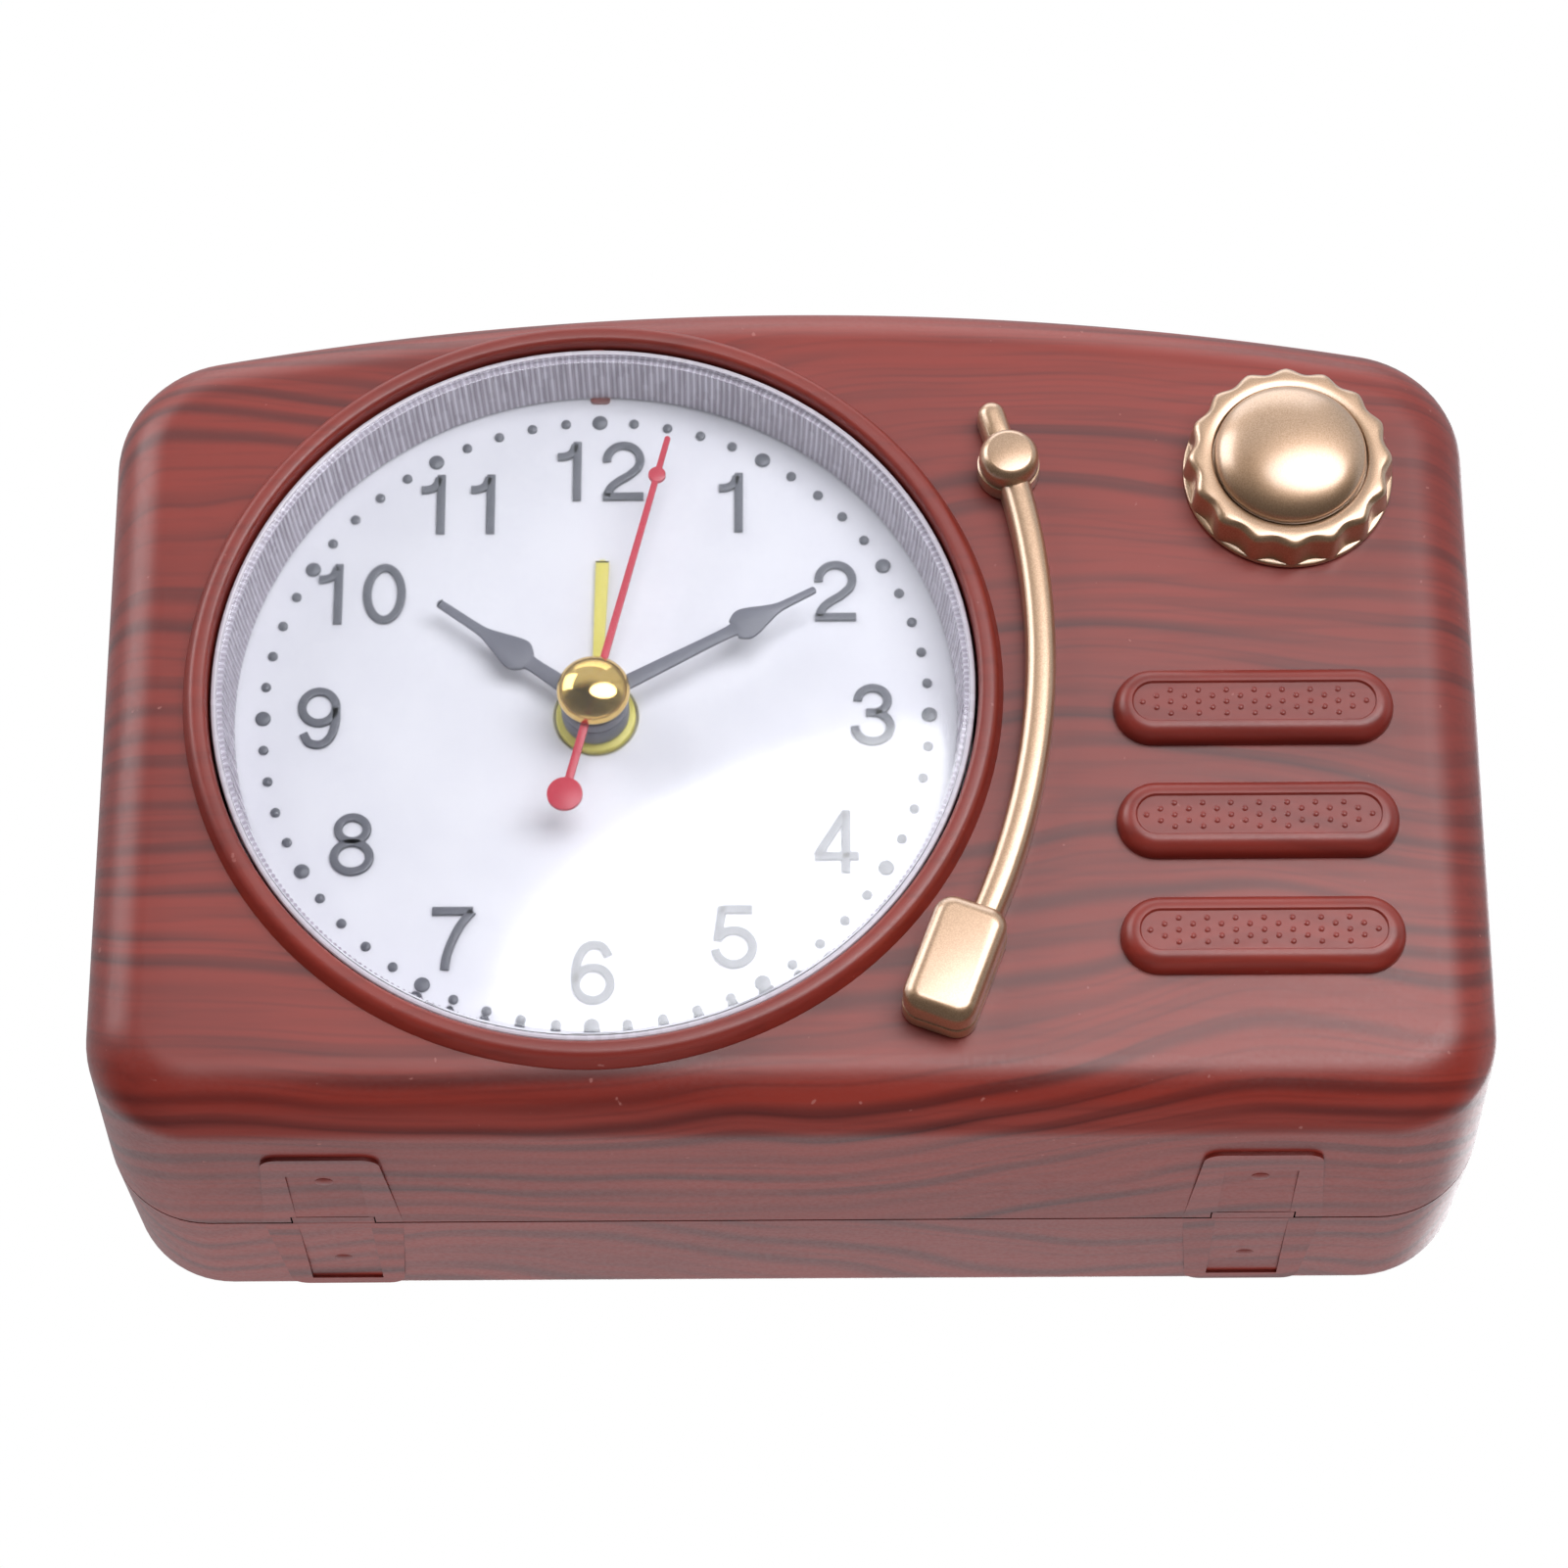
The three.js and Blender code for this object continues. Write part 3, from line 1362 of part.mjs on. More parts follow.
function coil() {
  const half = coil_length / 2;
  const core = core_length / 2;
  const body = turned([
    [0, -core], [core_radius, -core], [core_radius, -half], [coil_flange_radius, -half],
    [coil_flange_radius, coil_flange - half], [coil_radius, coil_flange - half],
    [coil_radius, half - coil_flange], [coil_flange_radius, half - coil_flange],
    [coil_flange_radius, half], [core_radius, half], [core_radius, core], [0, core],
  ], small_segments);
  return moved(body, [rotor_x, level(coil_level), coil_z], 0, quarter);
}

const board_front = level(board_level);
const board_back = board_front + board_thickness;

function chip() {
  const front = board_back + clearance;
  return moved(turned([
    [0, front], [chip_radius, front], [chip_radius * crest_share, front + chip_height * crest_share],
    [0, front + chip_height],
  ], small_segments), [board_x, 0, board_z + chip_z]);
}

function crystal() {
  const body = rod(crystal_radius, -crystal_length / 2, crystal_length / 2, 0, 0, hole_sides);
  const depth = board_back + clearance + crystal_radius;
  return moved(body, [board_x, depth, board_z + crystal_z], 0, quarter);
}

add(dial_group, 'movement_plate', plateAndHousing(), black);
add(dial_group, 'movement_cover', movementCover(), black);
add(dial_group, 'second_wheel', second_wheel, cream);
add(dial_group, 'minute_cannon', cannon, cream);
add(dial_group, 'centre_wheel', centre_wheel, cream);
add(dial_group, 'hour_wheel', hour_wheel, cream);
add(dial_group, 'alarm_wheel', alarm_wheel, cream);
add(dial_group, 'third_wheel', placed(third_wheel, third_at), cream);
add(dial_group, 'step_wheel', placed(step_wheel, step_at), cream);
add(dial_group, 'rotor', placed(rotor, rotor_at), steel);
add(dial_group, 'motion_wheel', placed(motion_wheel, motion_at), cream);
add(dial_group, 'time_set_gear', placed(time_gear, set_knobs.time), cream);
add(dial_group, 'alarm_set_gear', placed(alarm_gear, set_knobs.alarm), cream);
add(dial_group, 'stator', stator(), steel);
add(dial_group, 'coil', coil(), copper);
add(dial_group, 'circuit_board', block(
  board_x - board_width / 2, board_x + board_width / 2, board_front, board_back,
  board_z - board_height / 2, board_z + board_height / 2,
), board_green);
add(dial_group, 'chip', chip(), black);
add(dial_group, 'quartz_crystal', crystal(), steel);

// Rear controls

// The grip is cut with straight grooves all round.
function setKnob([x, z], stem_front) {
  const foot = recess_floor + clearance;
  const collar_back = recess_floor - wall - clearance;
  const half = turn / set_knob_grooves / 2;
  const grip = (radius) => Array.from({ length: set_knob_grooves }, (_, i) => [
    polar(radius, turn * i / set_knob_grooves),
    polar(radius - set_knob_groove_depth, turn * i / set_knob_grooves + half),
  ]).flat();
  const top = foot + set_knob_height;
  return placed(join(
    loft([
      { points: grip(set_knob_radius), depth: foot },
      { points: grip(set_knob_radius), depth: top - set_knob_bevel },
      { points: grip(set_knob_radius - set_knob_bevel), depth: top },
    ]),
    rod(stem_radius, stem_front, foot + sink, 0, 0, small_segments),
    rod(collar_radius, collar_back - collar_thickness, collar_back, 0, 0, small_segments),
  ), [x, z]);
}

function alarmSwitch() {
  const [low, high] = [recess_floor - wall - clearance, recess_floor + clearance];
  const centred = (width, length, front, back) => block(
    -width / 2, width / 2, front, back, -length / 2, length / 2,
  );
  let body = join(
    centred(switch_width, switch_length, high, high + switch_rise),
    centred(switch_neck_width, switch_neck_length, low - sink, high + sink),
    centred(switch_plate_width, switch_plate_length, low - switch_plate_thickness, low),
  );
  const pitch = switch_length / (switch_ribs + 1);
  for (let i = 1; i <= switch_ribs; i += 1) {
    const z = i * pitch - switch_length / 2;
    const half = pitch * switch_rib_share / 2;
    body = cut(body, block(
      -switch_width, switch_width, high + switch_rise - switch_rib_depth, high + switch_rise + overrun,
      z - half, z + half,
    ));
  }
  return moved(body, [0, 0, set_knob_z - switch_travel / 2]);
}

const stem_front = cover_front;
add(dial_group, 'time_set_knob', setKnob(set_knobs.time, stem_front), black);
add(dial_group, 'alarm_set_knob', setKnob(set_knobs.alarm, stem_front), black);
add(dial_group, 'alarm_switch', alarmSwitch(), black);

// Battery door, contacts and buzzer

function batteryDoor() {
  const [front, back] = [case_depth - door_thickness, case_depth];
  let door = centredSlab(door_length, door_width, door_corner, bay_x, bay_z, front, back);
  const hinge_z = bay_z - door_width / 2;
  for (const side of [-1, 1]) {
    const x = bay_x + side * door_tab_x;
    door = join(door, block(
      x - door_tab_width / 2, x + door_tab_width / 2, front, front + door_tab_thickness,
      hinge_z - door_tab_reach, hinge_z + door_tab_reach,
    ));
  }
  for (let i = 0; i < door_ribs; i += 1) {
    const z = bay_z + (i - (door_ribs - 1) / 2) * door_rib_pitch;
    door = cut(door, block(
      bay_x - door_rib_length / 2, bay_x + door_rib_length / 2,
      back - door_rib_depth, back + overrun, z - door_rib_width / 2, z + door_rib_width / 2,
    ));
  }
  // Three slits free the tongue of the latch at the upper edge.
  const [top, half] = [bay_z + door_width / 2, latch_width / 2];
  for (const side of [-1, 1]) {
    const x = bay_x + side * half;
    door = cut(door, block(
      x - latch_slit / 2, x + latch_slit / 2, front - overrun, back + overrun,
      top - latch_length, top + overrun,
    ));
  }
  return door;
}

const bay_middle = bay_floor + bay_depth / 2;

function contact(side) {
  const x = bay_x + side * (bay_length / 2 - clearance);
  const [a, b] = [x, x - side * contact_thickness];
  const plate = block(
    Math.min(a, b), Math.max(a, b), bay_middle - contact_width / 2, bay_middle + contact_width / 2,
    bay_z - contact_height / 2, bay_z + contact_height / 2,
  );
  return { plate, inner: b };
}

function plusContact() {
  const { plate, inner } = contact(-1);
  const nub = turned([
    [0, sink / 2], [contact_nub_radius, sink / 2], [contact_nub_radius, 0],
    [contact_nub_radius * crest_share, -contact_nub_height], [0, -contact_nub_height],
  ], small_segments);
  return join(plate, moved(nub, [inner, bay_middle, bay_z], 0, quarter));
}

class SpringCurve extends THREE.Curve {
  getPoint(t, target = new THREE.Vector3()) {
    const radius = spring_base_radius + (spring_tip_radius - spring_base_radius) * t;
    const angle = turn * spring_turns * t;
    return target.set(-spring_length * t, radius * Math.cos(angle), radius * Math.sin(angle));
  }
}

// Least distance between the surfaces of coils that are half a turn or more apart.
function leastGap() {
  const curve = new SpringCurve();
  const count = spring_turns * spring_steps * wire_sides;
  const points = Array.from({ length: count + 1 }, (_, i) => curve.getPoint(i / count));
  const apart = spring_steps * wire_sides / 2;
  let least = Infinity;
  for (let i = 0; i < points.length; i += 1) {
    for (let j = i + apart; j < points.length; j += 1) {
      least = Math.min(least, points[i].distanceTo(points[j]));
    }
  }
  return least - spring_wire * 2;
}

function contactSpring() {
  const gap = leastGap();
  console.log(`contact spring, least gap to itself: ${gap.toFixed(2)} mm`);
  if (gap < spring_least_gap) throw new Error('the coils of the contact spring are too close');
  const wire = new THREE.ExtrudeGeometry(
    polygon(arcPoints(0, 0, spring_wire, 0, turn, wire_sides).slice(0, -1)),
    { steps: spring_turns * spring_steps, extrudePath: new SpringCurve() },
  );
  const { inner } = contact(1);
  wire.translate(inner - clearance - spring_wire, bay_middle, bay_z);
  return solid(wire);
}

add(case_group, 'battery_door', batteryDoor(), wood_red);
add(case_group, 'plus_contact', plusContact(), steel);
add(case_group, 'minus_contact', contact(1).plate, steel);
add(case_group, 'contact_spring', contactSpring(), steel);

function buzzer() {
  const back = rear_inner - clearance;
  return moved(turned([
    [0, back - buzzer_height], [buzzer_radius, back - buzzer_height], [buzzer_radius, back],
    [buzzer_cone_radius, back], [buzzer_cone_radius / 2, back - buzzer_cone_depth],
    [0, back - buzzer_cone_depth],
  ]), [buzzer_x, 0, buzzer_z]);
}

add(case_group, 'buzzer', buzzer(), black);

// Screws

function panScrew(head_front, head_radius, head_height, radius, length) {
  return turned([
    [0, head_front - length], [radius * corner_share, head_front - length],
    [radius, head_front - length + radius], [radius, head_front], [head_radius, head_front],
    [head_radius, head_front + head_height / 2], [head_radius * crest_share, head_front + head_height],
    [0, head_front + head_height],
  ], hole_sides);
}

const case_head = parting_depth + seam_gap + case_boss_floor + clearance;
case_posts.forEach((post, i) => add(case_group, `case_screw_${corner_names[i]}`, placed(panScrew(
  case_head, case_screw_head_radius, case_screw_head_height, case_screw_radius, case_screw_length,
), post), steel));
plate_posts.forEach((post, i) => add(dial_group, `plate_screw_${corner_names[i]}`, placed(panScrew(
  plate_back + clearance, plate_screw_head_radius, plate_screw_head_height,
  plate_screw_radius, plate_screw_length,
), post), steel));

export default clock;
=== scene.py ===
import math

import bmesh
import bpy
from mathutils import Matrix, Vector


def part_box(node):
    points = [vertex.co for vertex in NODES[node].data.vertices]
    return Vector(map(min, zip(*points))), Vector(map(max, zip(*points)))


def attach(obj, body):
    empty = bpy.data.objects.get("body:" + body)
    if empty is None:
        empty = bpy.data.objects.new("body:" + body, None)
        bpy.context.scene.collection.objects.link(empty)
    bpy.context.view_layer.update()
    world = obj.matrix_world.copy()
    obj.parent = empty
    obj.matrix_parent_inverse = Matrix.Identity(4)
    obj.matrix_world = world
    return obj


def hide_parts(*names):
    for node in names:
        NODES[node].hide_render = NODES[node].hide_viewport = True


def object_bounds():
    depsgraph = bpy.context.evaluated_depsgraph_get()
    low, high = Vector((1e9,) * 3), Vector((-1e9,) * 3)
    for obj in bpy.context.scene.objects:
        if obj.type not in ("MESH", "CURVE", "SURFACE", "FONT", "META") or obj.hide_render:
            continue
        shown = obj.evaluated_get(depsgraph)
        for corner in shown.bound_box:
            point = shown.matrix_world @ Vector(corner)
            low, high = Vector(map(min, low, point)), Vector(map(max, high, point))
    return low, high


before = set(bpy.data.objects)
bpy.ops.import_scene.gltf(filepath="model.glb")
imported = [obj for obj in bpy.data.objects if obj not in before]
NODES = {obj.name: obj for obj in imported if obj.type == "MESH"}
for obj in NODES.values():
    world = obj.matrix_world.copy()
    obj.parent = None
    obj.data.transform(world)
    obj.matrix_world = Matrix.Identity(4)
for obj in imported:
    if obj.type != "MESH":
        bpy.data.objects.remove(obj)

bl_info = {
    "name": "Record player alarm clock",
    "version": (1, 0, 0),
    "blender": (4, 5, 0),
    "location": "3D View > Sidebar > Clock",
    "description": "Dresses the wood grain alarm clock with its finished pieces",
    "category": "Object",
}

CAD_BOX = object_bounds()
MM = 0.001
TURN = math.tau
QUARTER = math.pi / 2


def middle(node):
    """Centre of a solid in x and z, in millimetres."""
    low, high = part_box(node)
    return (low.x + high.x) / 2 / MM, (low.z + high.z) / 2 / MM


# Sizes in millimetres, as the solids have them. Depths run from the front face to the rear.
KEY_HEIGHT = 2.1                   # the keys stand furthest out of the front shell
FACE_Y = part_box("front_shell")[0].y / MM + KEY_HEIGHT
CASE_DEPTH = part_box("back_shell")[1].y / MM - FACE_Y
SIDE = CAD_BOX[1].x / MM
HEIGHT = CAD_BOX[1].z / MM
PARTING = 27.3
SEAM = 0.3
DRAFT = math.radians(1.3)
LOW_CORNER = 10.5
TOP_CORNER = 12.0
ARCH = 318.0
WALL = 2.0
FRONT_EDGE = 6.0
REAR_EDGE = 3.2
OVERRUN = 1.0                      # how far a cut passes the face that it opens
GLUE = 0.2                         # glue line under the parts stuck to the face
MERGE = 1e-4
DIAL_X, DIAL_Z = middle("dial")
DIAL_DEPTH = 7.45
DIAL_THICK = 0.6
OPENING = 37.75
POSTS = [middle(f"case_screw_{height}_{side}") for height in ("low", "high") for side in ("left", "right")]


def at_depth(depth):
    """Place along Y, in millimetres, of a depth behind the front face."""
    return FACE_Y + depth


def colour(code):
    """A colour written as six hex digits, as the renderer counts light."""
    parts = [int(code[i:i + 2], 16) / 255 for i in (0, 2, 4)]
    return tuple(p / 12.92 if p <= 0.04045 else ((p + 0.055) / 1.055) ** 2.4 for p in parts) + (1.0,)


# Materials

class Wire:
    """A value or colour on its way through a material; a sum written on it adds the nodes."""

    def __init__(self, finish, socket):
        self.finish = finish
        self.socket = socket

    def __add__(self, other):
        return self.finish.maths("ADD", self, other)

    def __radd__(self, other):
        return self.finish.maths("ADD", other, self)

    def __sub__(self, other):
        return self.finish.maths("SUBTRACT", self, other)

    def __rsub__(self, other):
        return self.finish.maths("SUBTRACT", other, self)

    def __mul__(self, other):
        return self.finish.maths("MULTIPLY", self, other)

    def __rmul__(self, other):
        return self.finish.maths("MULTIPLY", other, self)

    def __mod__(self, other):
        return self.finish.maths("FLOORED_MODULO", self, other)

    def __rmod__(self, other):
        return self.finish.maths("FLOORED_MODULO", other, self)

    def __abs__(self):
        return self.finish.maths("ABSOLUTE", self)


class Finish:
    """The nodes of a material or of the surroundings; all of them come from its node method."""

    def __init__(self, owner, output="ShaderNodeOutputMaterial"):
        owner.use_nodes = True
        self.owner = owner
        self.tree = owner.node_tree
        self.tree.nodes.clear()
        self.output = self.tree.nodes.new(output)

    def node(self, kind, settings=None, sockets=None, out=0):
        made = self.tree.nodes.new(kind)
        for key, value in (settings or {}).items():
            setattr(made, key, value)
        for key, value in (sockets or {}).items():
            if isinstance(value, Wire):
                self.tree.links.new(value.socket, made.inputs[key])
            else:
                made.inputs[key].default_value = value
        return Wire(self, made.outputs[out])

    def maths(self, operation, first, second=0.0):
        return self.node("ShaderNodeMath", {"operation": operation}, {0: first, 1: second})

    def place(self, scale=(1, 1, 1), move=(0, 0, 0)):
        return self.node("ShaderNodeMapping", {"vector_type": "POINT"}, {
            "Vector": self.node("ShaderNodeTexCoord", out="Object"), "Scale": scale, "Location": move,
        })

    def split(self, vector):
        parts = self.node("ShaderNodeSeparateXYZ", {}, {"Vector": vector}).socket.node
        return [Wire(self, socket) for socket in parts.outputs]

    def join(self, x, y, z):
        return self.node("ShaderNodeCombineXYZ", {}, {0: x, 1: y, 2: z})

    def ray(self, kind):
        return self.node("ShaderNodeLightPath", out=kind)

    def noise(self, vector, scale=1.0, detail=1.0, rough=0.5):
        return self.node("ShaderNodeTexNoise", {"noise_dimensions": "3D"}, {
            "Vector": vector, "Scale": scale, "Detail": detail, "Roughness": rough,
        })

    def ease(self, value, low, high, to_low=0.0, to_high=1.0):
        return self.node("ShaderNodeMapRange", {"interpolation_type": "SMOOTHSTEP"}, {
            "Value": value, "From Min": low, "From Max": high, "To Min": to_low, "To Max": to_high,
        })

    def blend(self, factor, first, second):
        return self.node("ShaderNodeMix", {"data_type": "RGBA"}, {0: factor, 6: first, 7: second}, out=2)

    def bump(self, height, depth, strength):
        return self.node("ShaderNodeBump", {}, {"Height": height, "Distance": depth, "Strength": strength})

    def stripes(self, count, low, high):
        """A soft line in each whole step of a rising value, and the number of that step."""
        phase = count % 1.0
        return self.ease(1.0 - abs(phase - 0.5) * 2.0, low, high), count - phase

    def mixed(self, factor, first, second):
        return self.node("ShaderNodeMixShader", {}, {0: factor, 1: first, 2: second})

    def surface(self, **sockets):
        named = {key.replace("_", " "): value for key, value in sockets.items()}
        self.show(self.node("ShaderNodeBsdfPrincipled", {}, named))

    def show(self, shader):
        self.tree.links.new(shader.socket, self.output.inputs["Surface"])


# How often each pattern of the film repeats in a metre, along x, y and z
SWAY_GRAIN = (15.0, 12.0, 19.0)
WAVER_GRAIN = (48.0, 60.0, 70.0)
SWELL_GRAIN = (9.0, 0.0, 14.0)
STREAK_GRAIN = (55.0, 900.0, 900.0)
CLOUD_GRAIN = (18.0, 40.0, 40.0)
RIPPLE_GRAIN = (260.0, 420.0, 420.0)
DUST_GRAIN = 1000.0
SPECK_GRAIN = 2300.0
LEAN_FROM, LEAN_TO = 0.012, 0.078  # heights, in metres, between which the lines change their lean
DIP = 0.06                         # fall of the lines for each unit to the right
FILM_ROUGH = (0.35, 0.46)


def wood_film(name, wishes, lines=1.0, lean=0.8, face=at_depth(0) * MM, arcs=0.0):
    """Printed film: soft dark lines that run along the case and sway, under a satin coat."""
    finish = Finish(bpy.data.materials.new(name))
    spot = finish.place()
    x, y, z = finish.split(spot)
    sway = finish.noise(finish.place(SWAY_GRAIN, (0.0, 3.1, 1.7)), rough=0.35)
    waver = finish.noise(finish.place(WAVER_GRAIN), rough=0.4)
    # The lines run over the rounded edges without a break: they lean one way below, the other above.
    slope = finish.ease(z, LEAN_FROM, LEAN_TO, -lean, lean)
    rings = (z + (y - face) * slope - x * DIP) * wishes.rings + sway * wishes.sway + waver * 1.1
    if arcs:
        swell = finish.noise(finish.place(SWELL_GRAIN)) * 5.0
        rings = rings + finish.maths("COSINE", x * 80.0 + swell) * arcs
    line, index = finish.stripes(rings, 0.15, 0.98)
    fade = finish.noise(finish.join(x * 19.0, y * 12.0, index * 5.3), rough=0.4)
    line = line * finish.ease(fade, 0.36, 0.62, 0.1, 1.0)
    hair, hair_index = finish.stripes(rings * 3.0 + waver * 0.6, 0.3, 1.0)
    hair_fade = finish.noise(finish.join(x * 33.0, y * 20.0, hair_index * 3.7))
    hair = hair * finish.ease(hair_fade, 0.42, 0.7)
    streak = finish.noise(finish.place(STREAK_GRAIN), detail=3.0, rough=0.55)
    cloud = finish.noise(finish.place(CLOUD_GRAIN), detail=2.0)
    ground = finish.blend(finish.ease(cloud, 0.34, 0.66), wishes.film_red, wishes.film_warm)
    ground = finish.blend(finish.ease(streak, 0.45, 0.8) * 0.32, ground, wishes.film_line)
    printed = finish.blend((line * 0.76 + hair * 0.3) * lines, ground, wishes.film_line)
    dust = finish.ease(finish.noise(spot, DUST_GRAIN, 2.0, 0.35), 0.76, 0.8)
    speck = finish.noise(spot, SPECK_GRAIN, 2.0, 0.6)
    ripple = finish.noise(finish.place(RIPPLE_GRAIN), detail=2.0)
    finish.surface(
        Base_Color=finish.blend(dust * 0.5, printed, wishes.film_dust),
        Roughness=finish.ease(speck + dust * 0.3, 0.2, 0.9, *FILM_ROUGH),
        Normal=finish.bump(speck * 0.3 + ripple * 1.2, 0.00003, 0.5), Specular_IOR_Level=0.6,
    )
    return finish.owner


def ribbed_silver(name, wishes):
    """The lens wall, with painted reflection: the light its clear ribs throw back is painted into its colour
    as fine silvery glint lines over a painted reflected ground.
    """
    finish = Finish(bpy.data.materials.new(name))
    x, y, z = finish.split(finish.place(move=(-DIAL_X * MM, 0.0, -DIAL_Z * MM)))
    around = finish.maths("ARCTAN2", z, x) * (wishes.ribs / TURN)
    rib, index = finish.stripes(around, 0.45, 0.8)
    wall = finish.ease(y, at_depth(0.2) * MM, at_depth(0.9) * MM)
    # Painted glints: a pale line on each rib of the wall.
    glint = rib * wall
    uneven = finish.noise(finish.join(index, y * 160.0, 0.0), 0.9, 2.0)
    # Painted reflection: the ground of the wall, between two painted tones that vary rib by rib.
    shade = finish.blend(finish.ease(uneven, 0.3, 0.7), wishes.wall_shade, wishes.wall_mid)
    # Painted highlight: the glints, brighter on some ribs, plus a painted pale reflection along the lens rim
    # in front of the wall.
    pale = glint * finish.ease(uneven, 0.25, 0.6, 0.55, 1.0) + (1.0 - wall) * 0.6
    finish.surface(
        Base_Color=finish.blend(pale, shade, wishes.wall_light),
        Roughness=finish.ease(uneven, 0.3, 0.7, 0.2, 0.32), Normal=finish.bump(glint, 0.00006, 0.6),
    )
    return finish.owner


def champagne_paint(name, wishes):
    """Metallic paint with a fine sparkle and a slightly uneven satin surface."""
    finish = Finish(bpy.data.materials.new(name))
    spot = finish.place()
    flake = finish.noise(spot, 7500.0, 2.0, 0.6)
    cloud = finish.noise(spot, 160.0, 2.0)
    finish.surface(
        Base_Color=finish.blend(finish.ease(flake, 0.3, 0.72), wishes.paint_deep, wishes.paint_gold),
        Metallic=0.8, Roughness=finish.ease(cloud + flake * 0.2, 0.35, 0.85, 0.34, 0.43),
        Normal=finish.bump(flake, 0.000008, 0.25), Coat_Weight=1.0, Coat_Roughness=0.24, Coat_IOR=2.0,
    )
    return finish.owner


def lens_plastic(name, wishes):
    """Clear styrene: refracts what the camera sees and lets the lamps through."""
    finish = Finish(bpy.data.materials.new(name))
    haze = finish.noise(finish.place(), 70.0, 2.0)
    clear = finish.node("ShaderNodeBsdfPrincipled", {}, {
        "Base Color": wishes.lens_tint, "Transmission Weight": 1.0, "IOR": 1.49,
        "Roughness": finish.ease(haze, 0.3, 0.7, 0.07, 0.09),
    })
    open_path = finish.node("ShaderNodeBsdfTransparent", {}, {"Color": (0.97, 0.97, 0.98, 1.0)})
    through = finish.maths("MAXIMUM", finish.ray("Is Shadow Ray"), finish.ray("Is Diffuse Ray"))
    finish.show(finish.mixed(through, clear, open_path))
    return finish.owner


def moulded(name, shade, second, rough, grain, metallic=0.0, height=0.00002):
    """Moulded plastic, card, paint or metal: two close tones, a fine surface grain and soft gloss."""
    finish = Finish(bpy.data.materials.new(name))
    spot = finish.place()
    fine = finish.noise(spot, grain, 3.0, 0.6)
    broad = finish.noise(spot, grain * 0.06, 2.0)
    tone = finish.ease(broad * 0.6 + fine * 0.4, 0.35, 0.65)
    finish.surface(
        Base_Color=finish.blend(tone, colour(shade), colour(second)), Metallic=metallic,
        Roughness=finish.ease(fine, 0.25, 0.75, rough - 0.05, rough + 0.05),
        Normal=finish.bump(fine, height, 0.3),
    )
    return finish.owner


# Two tones, roughness and grain per metre; then how metallic it is and how deep its grain, in metres
MOULDED = {
    "dial_white": ("e7e7eb", "e2e2e7", 0.5, 2200.0),
    "ink": ("5b5d65", "64666d", 0.35, 2500.0),
    "hand_grey": ("62636d", "6b6c76", 0.4, 2500.0),
    "hand_red": ("b81f37", "c0273f", 0.35, 2500.0),
    "alarm_paint": ("e6dc6a", "dfd45e", 0.4, 2500.0),
    "cap_gold": ("e6c070", "edca80", 0.1, 500.0, 1.0, 0.000004),
    "black": ("1b1b1e", "26262a", 0.5, 1500.0),
    "cream": ("e2dccb", "d9d2bf", 0.5, 1500.0),
    "steel": ("b9bbbf", "a9abb0", 0.28, 1800.0, 1.0),
    "copper": ("a85a2e", "8f4722", 0.32, 4000.0, 0.9, 0.0001),
    "board": ("2c5a3a", "254d31", 0.42, 1200.0),
}
# The solids that wear each finish
DRESSED = {
    "cream": [
        "alarm_set_knob", "second_wheel", "minute_cannon", "centre_wheel", "hour_wheel", "alarm_wheel",
        "third_wheel", "step_wheel", "motion_wheel", "time_set_gear", "alarm_set_gear", "movement_plate",
    ],
    "black": ["movement_cover", "time_set_knob", "alarm_set_knob", "alarm_switch", "chip", "buzzer"],
    "steel": [
        "stator", "quartz_crystal", "plus_contact", "minus_contact", "contact_spring", "rotor",
        *[name for name in NODES if "_screw_" in name],
    ],
    "film": ["front_shell", "back_shell", "battery_door"],
    "champagne": ["tone_arm", "head_shell", "knob_ring", "knob_dome"],
    "hand_grey": ["hour_hand", "minute_hand"],
    "hand_red": ["second_hand"],
    "alarm_paint": ["alarm_hand"],
    "cap_gold": ["hand_cap"],
    "dial_white": ["dial"],
    "lens": ["lens"],
    "copper": ["coil"],
    "board": ["circuit_board"],
}
FINISHES = {}


# Shaping. Shapes are drawn in millimetres, and made metres when they are finished.

def outline(bm, points, closed=True):
    """Edges through a few points."""
    verts = [bm.verts.new(p) for p in points]
    count = len(verts)
    edges = [
        bm.edges.new((verts[i], verts[(i + 1) % count]))
        for i in range(count if closed else count - 1)
    ]
    return verts, edges


def filled(bm):
    """The face inside the only outline of a shape."""
    return bmesh.ops.contextual_create(bm, geom=list(bm.edges))["faces"][0]


def rounded(bm, parts, radius, steps, affect="EDGES"):
    """Rounds edges, or the corners of an outline in its own plane."""
    bmesh.ops.bevel(
        bm, geom=parts, offset=radius, offset_type="OFFSET", segments=steps, profile=0.5,
        affect=affect, material=-1, clamp_overlap=False, loop_slide=True,
    )


def lift(bm, face, way):
    """Extrudes a face by a vector; gives the moved face."""
    made = bmesh.ops.extrude_face_region(bm, geom=[face])["geom"]
    verts = [v for v in made if isinstance(v, bmesh.types.BMVert)]
    bmesh.ops.translate(bm, verts=verts, vec=way)
    return [f for f in made if isinstance(f, bmesh.types.BMFace)][0]


def facing(bm, way):
    """The flat face that lies furthest along a direction."""
    way = Vector(way)
    flat = [f for f in bm.faces if f.normal.dot(way) > 0.99]
    return max(flat, key=lambda f: (round(f.calc_center_median().dot(way), 3), f.calc_area()))


def closed_up(bm, gap=MERGE):
    """Merges double points and turns the faces outwards."""
    bmesh.ops.remove_doubles(bm, verts=bm.verts, dist=gap)
    bmesh.ops.recalc_face_normals(bm, faces=bm.faces)
    return bm


def shifted(bm, x=0.0, y=0.0, z=0.0):
    bmesh.ops.translate(bm, verts=bm.verts, vec=(x, y, z))
    return bm


def on_dial(bm):
    """Moves a shape drawn round the origin to the middle of the dial."""
    return shifted(bm, DIAL_X, 0, DIAL_Z)


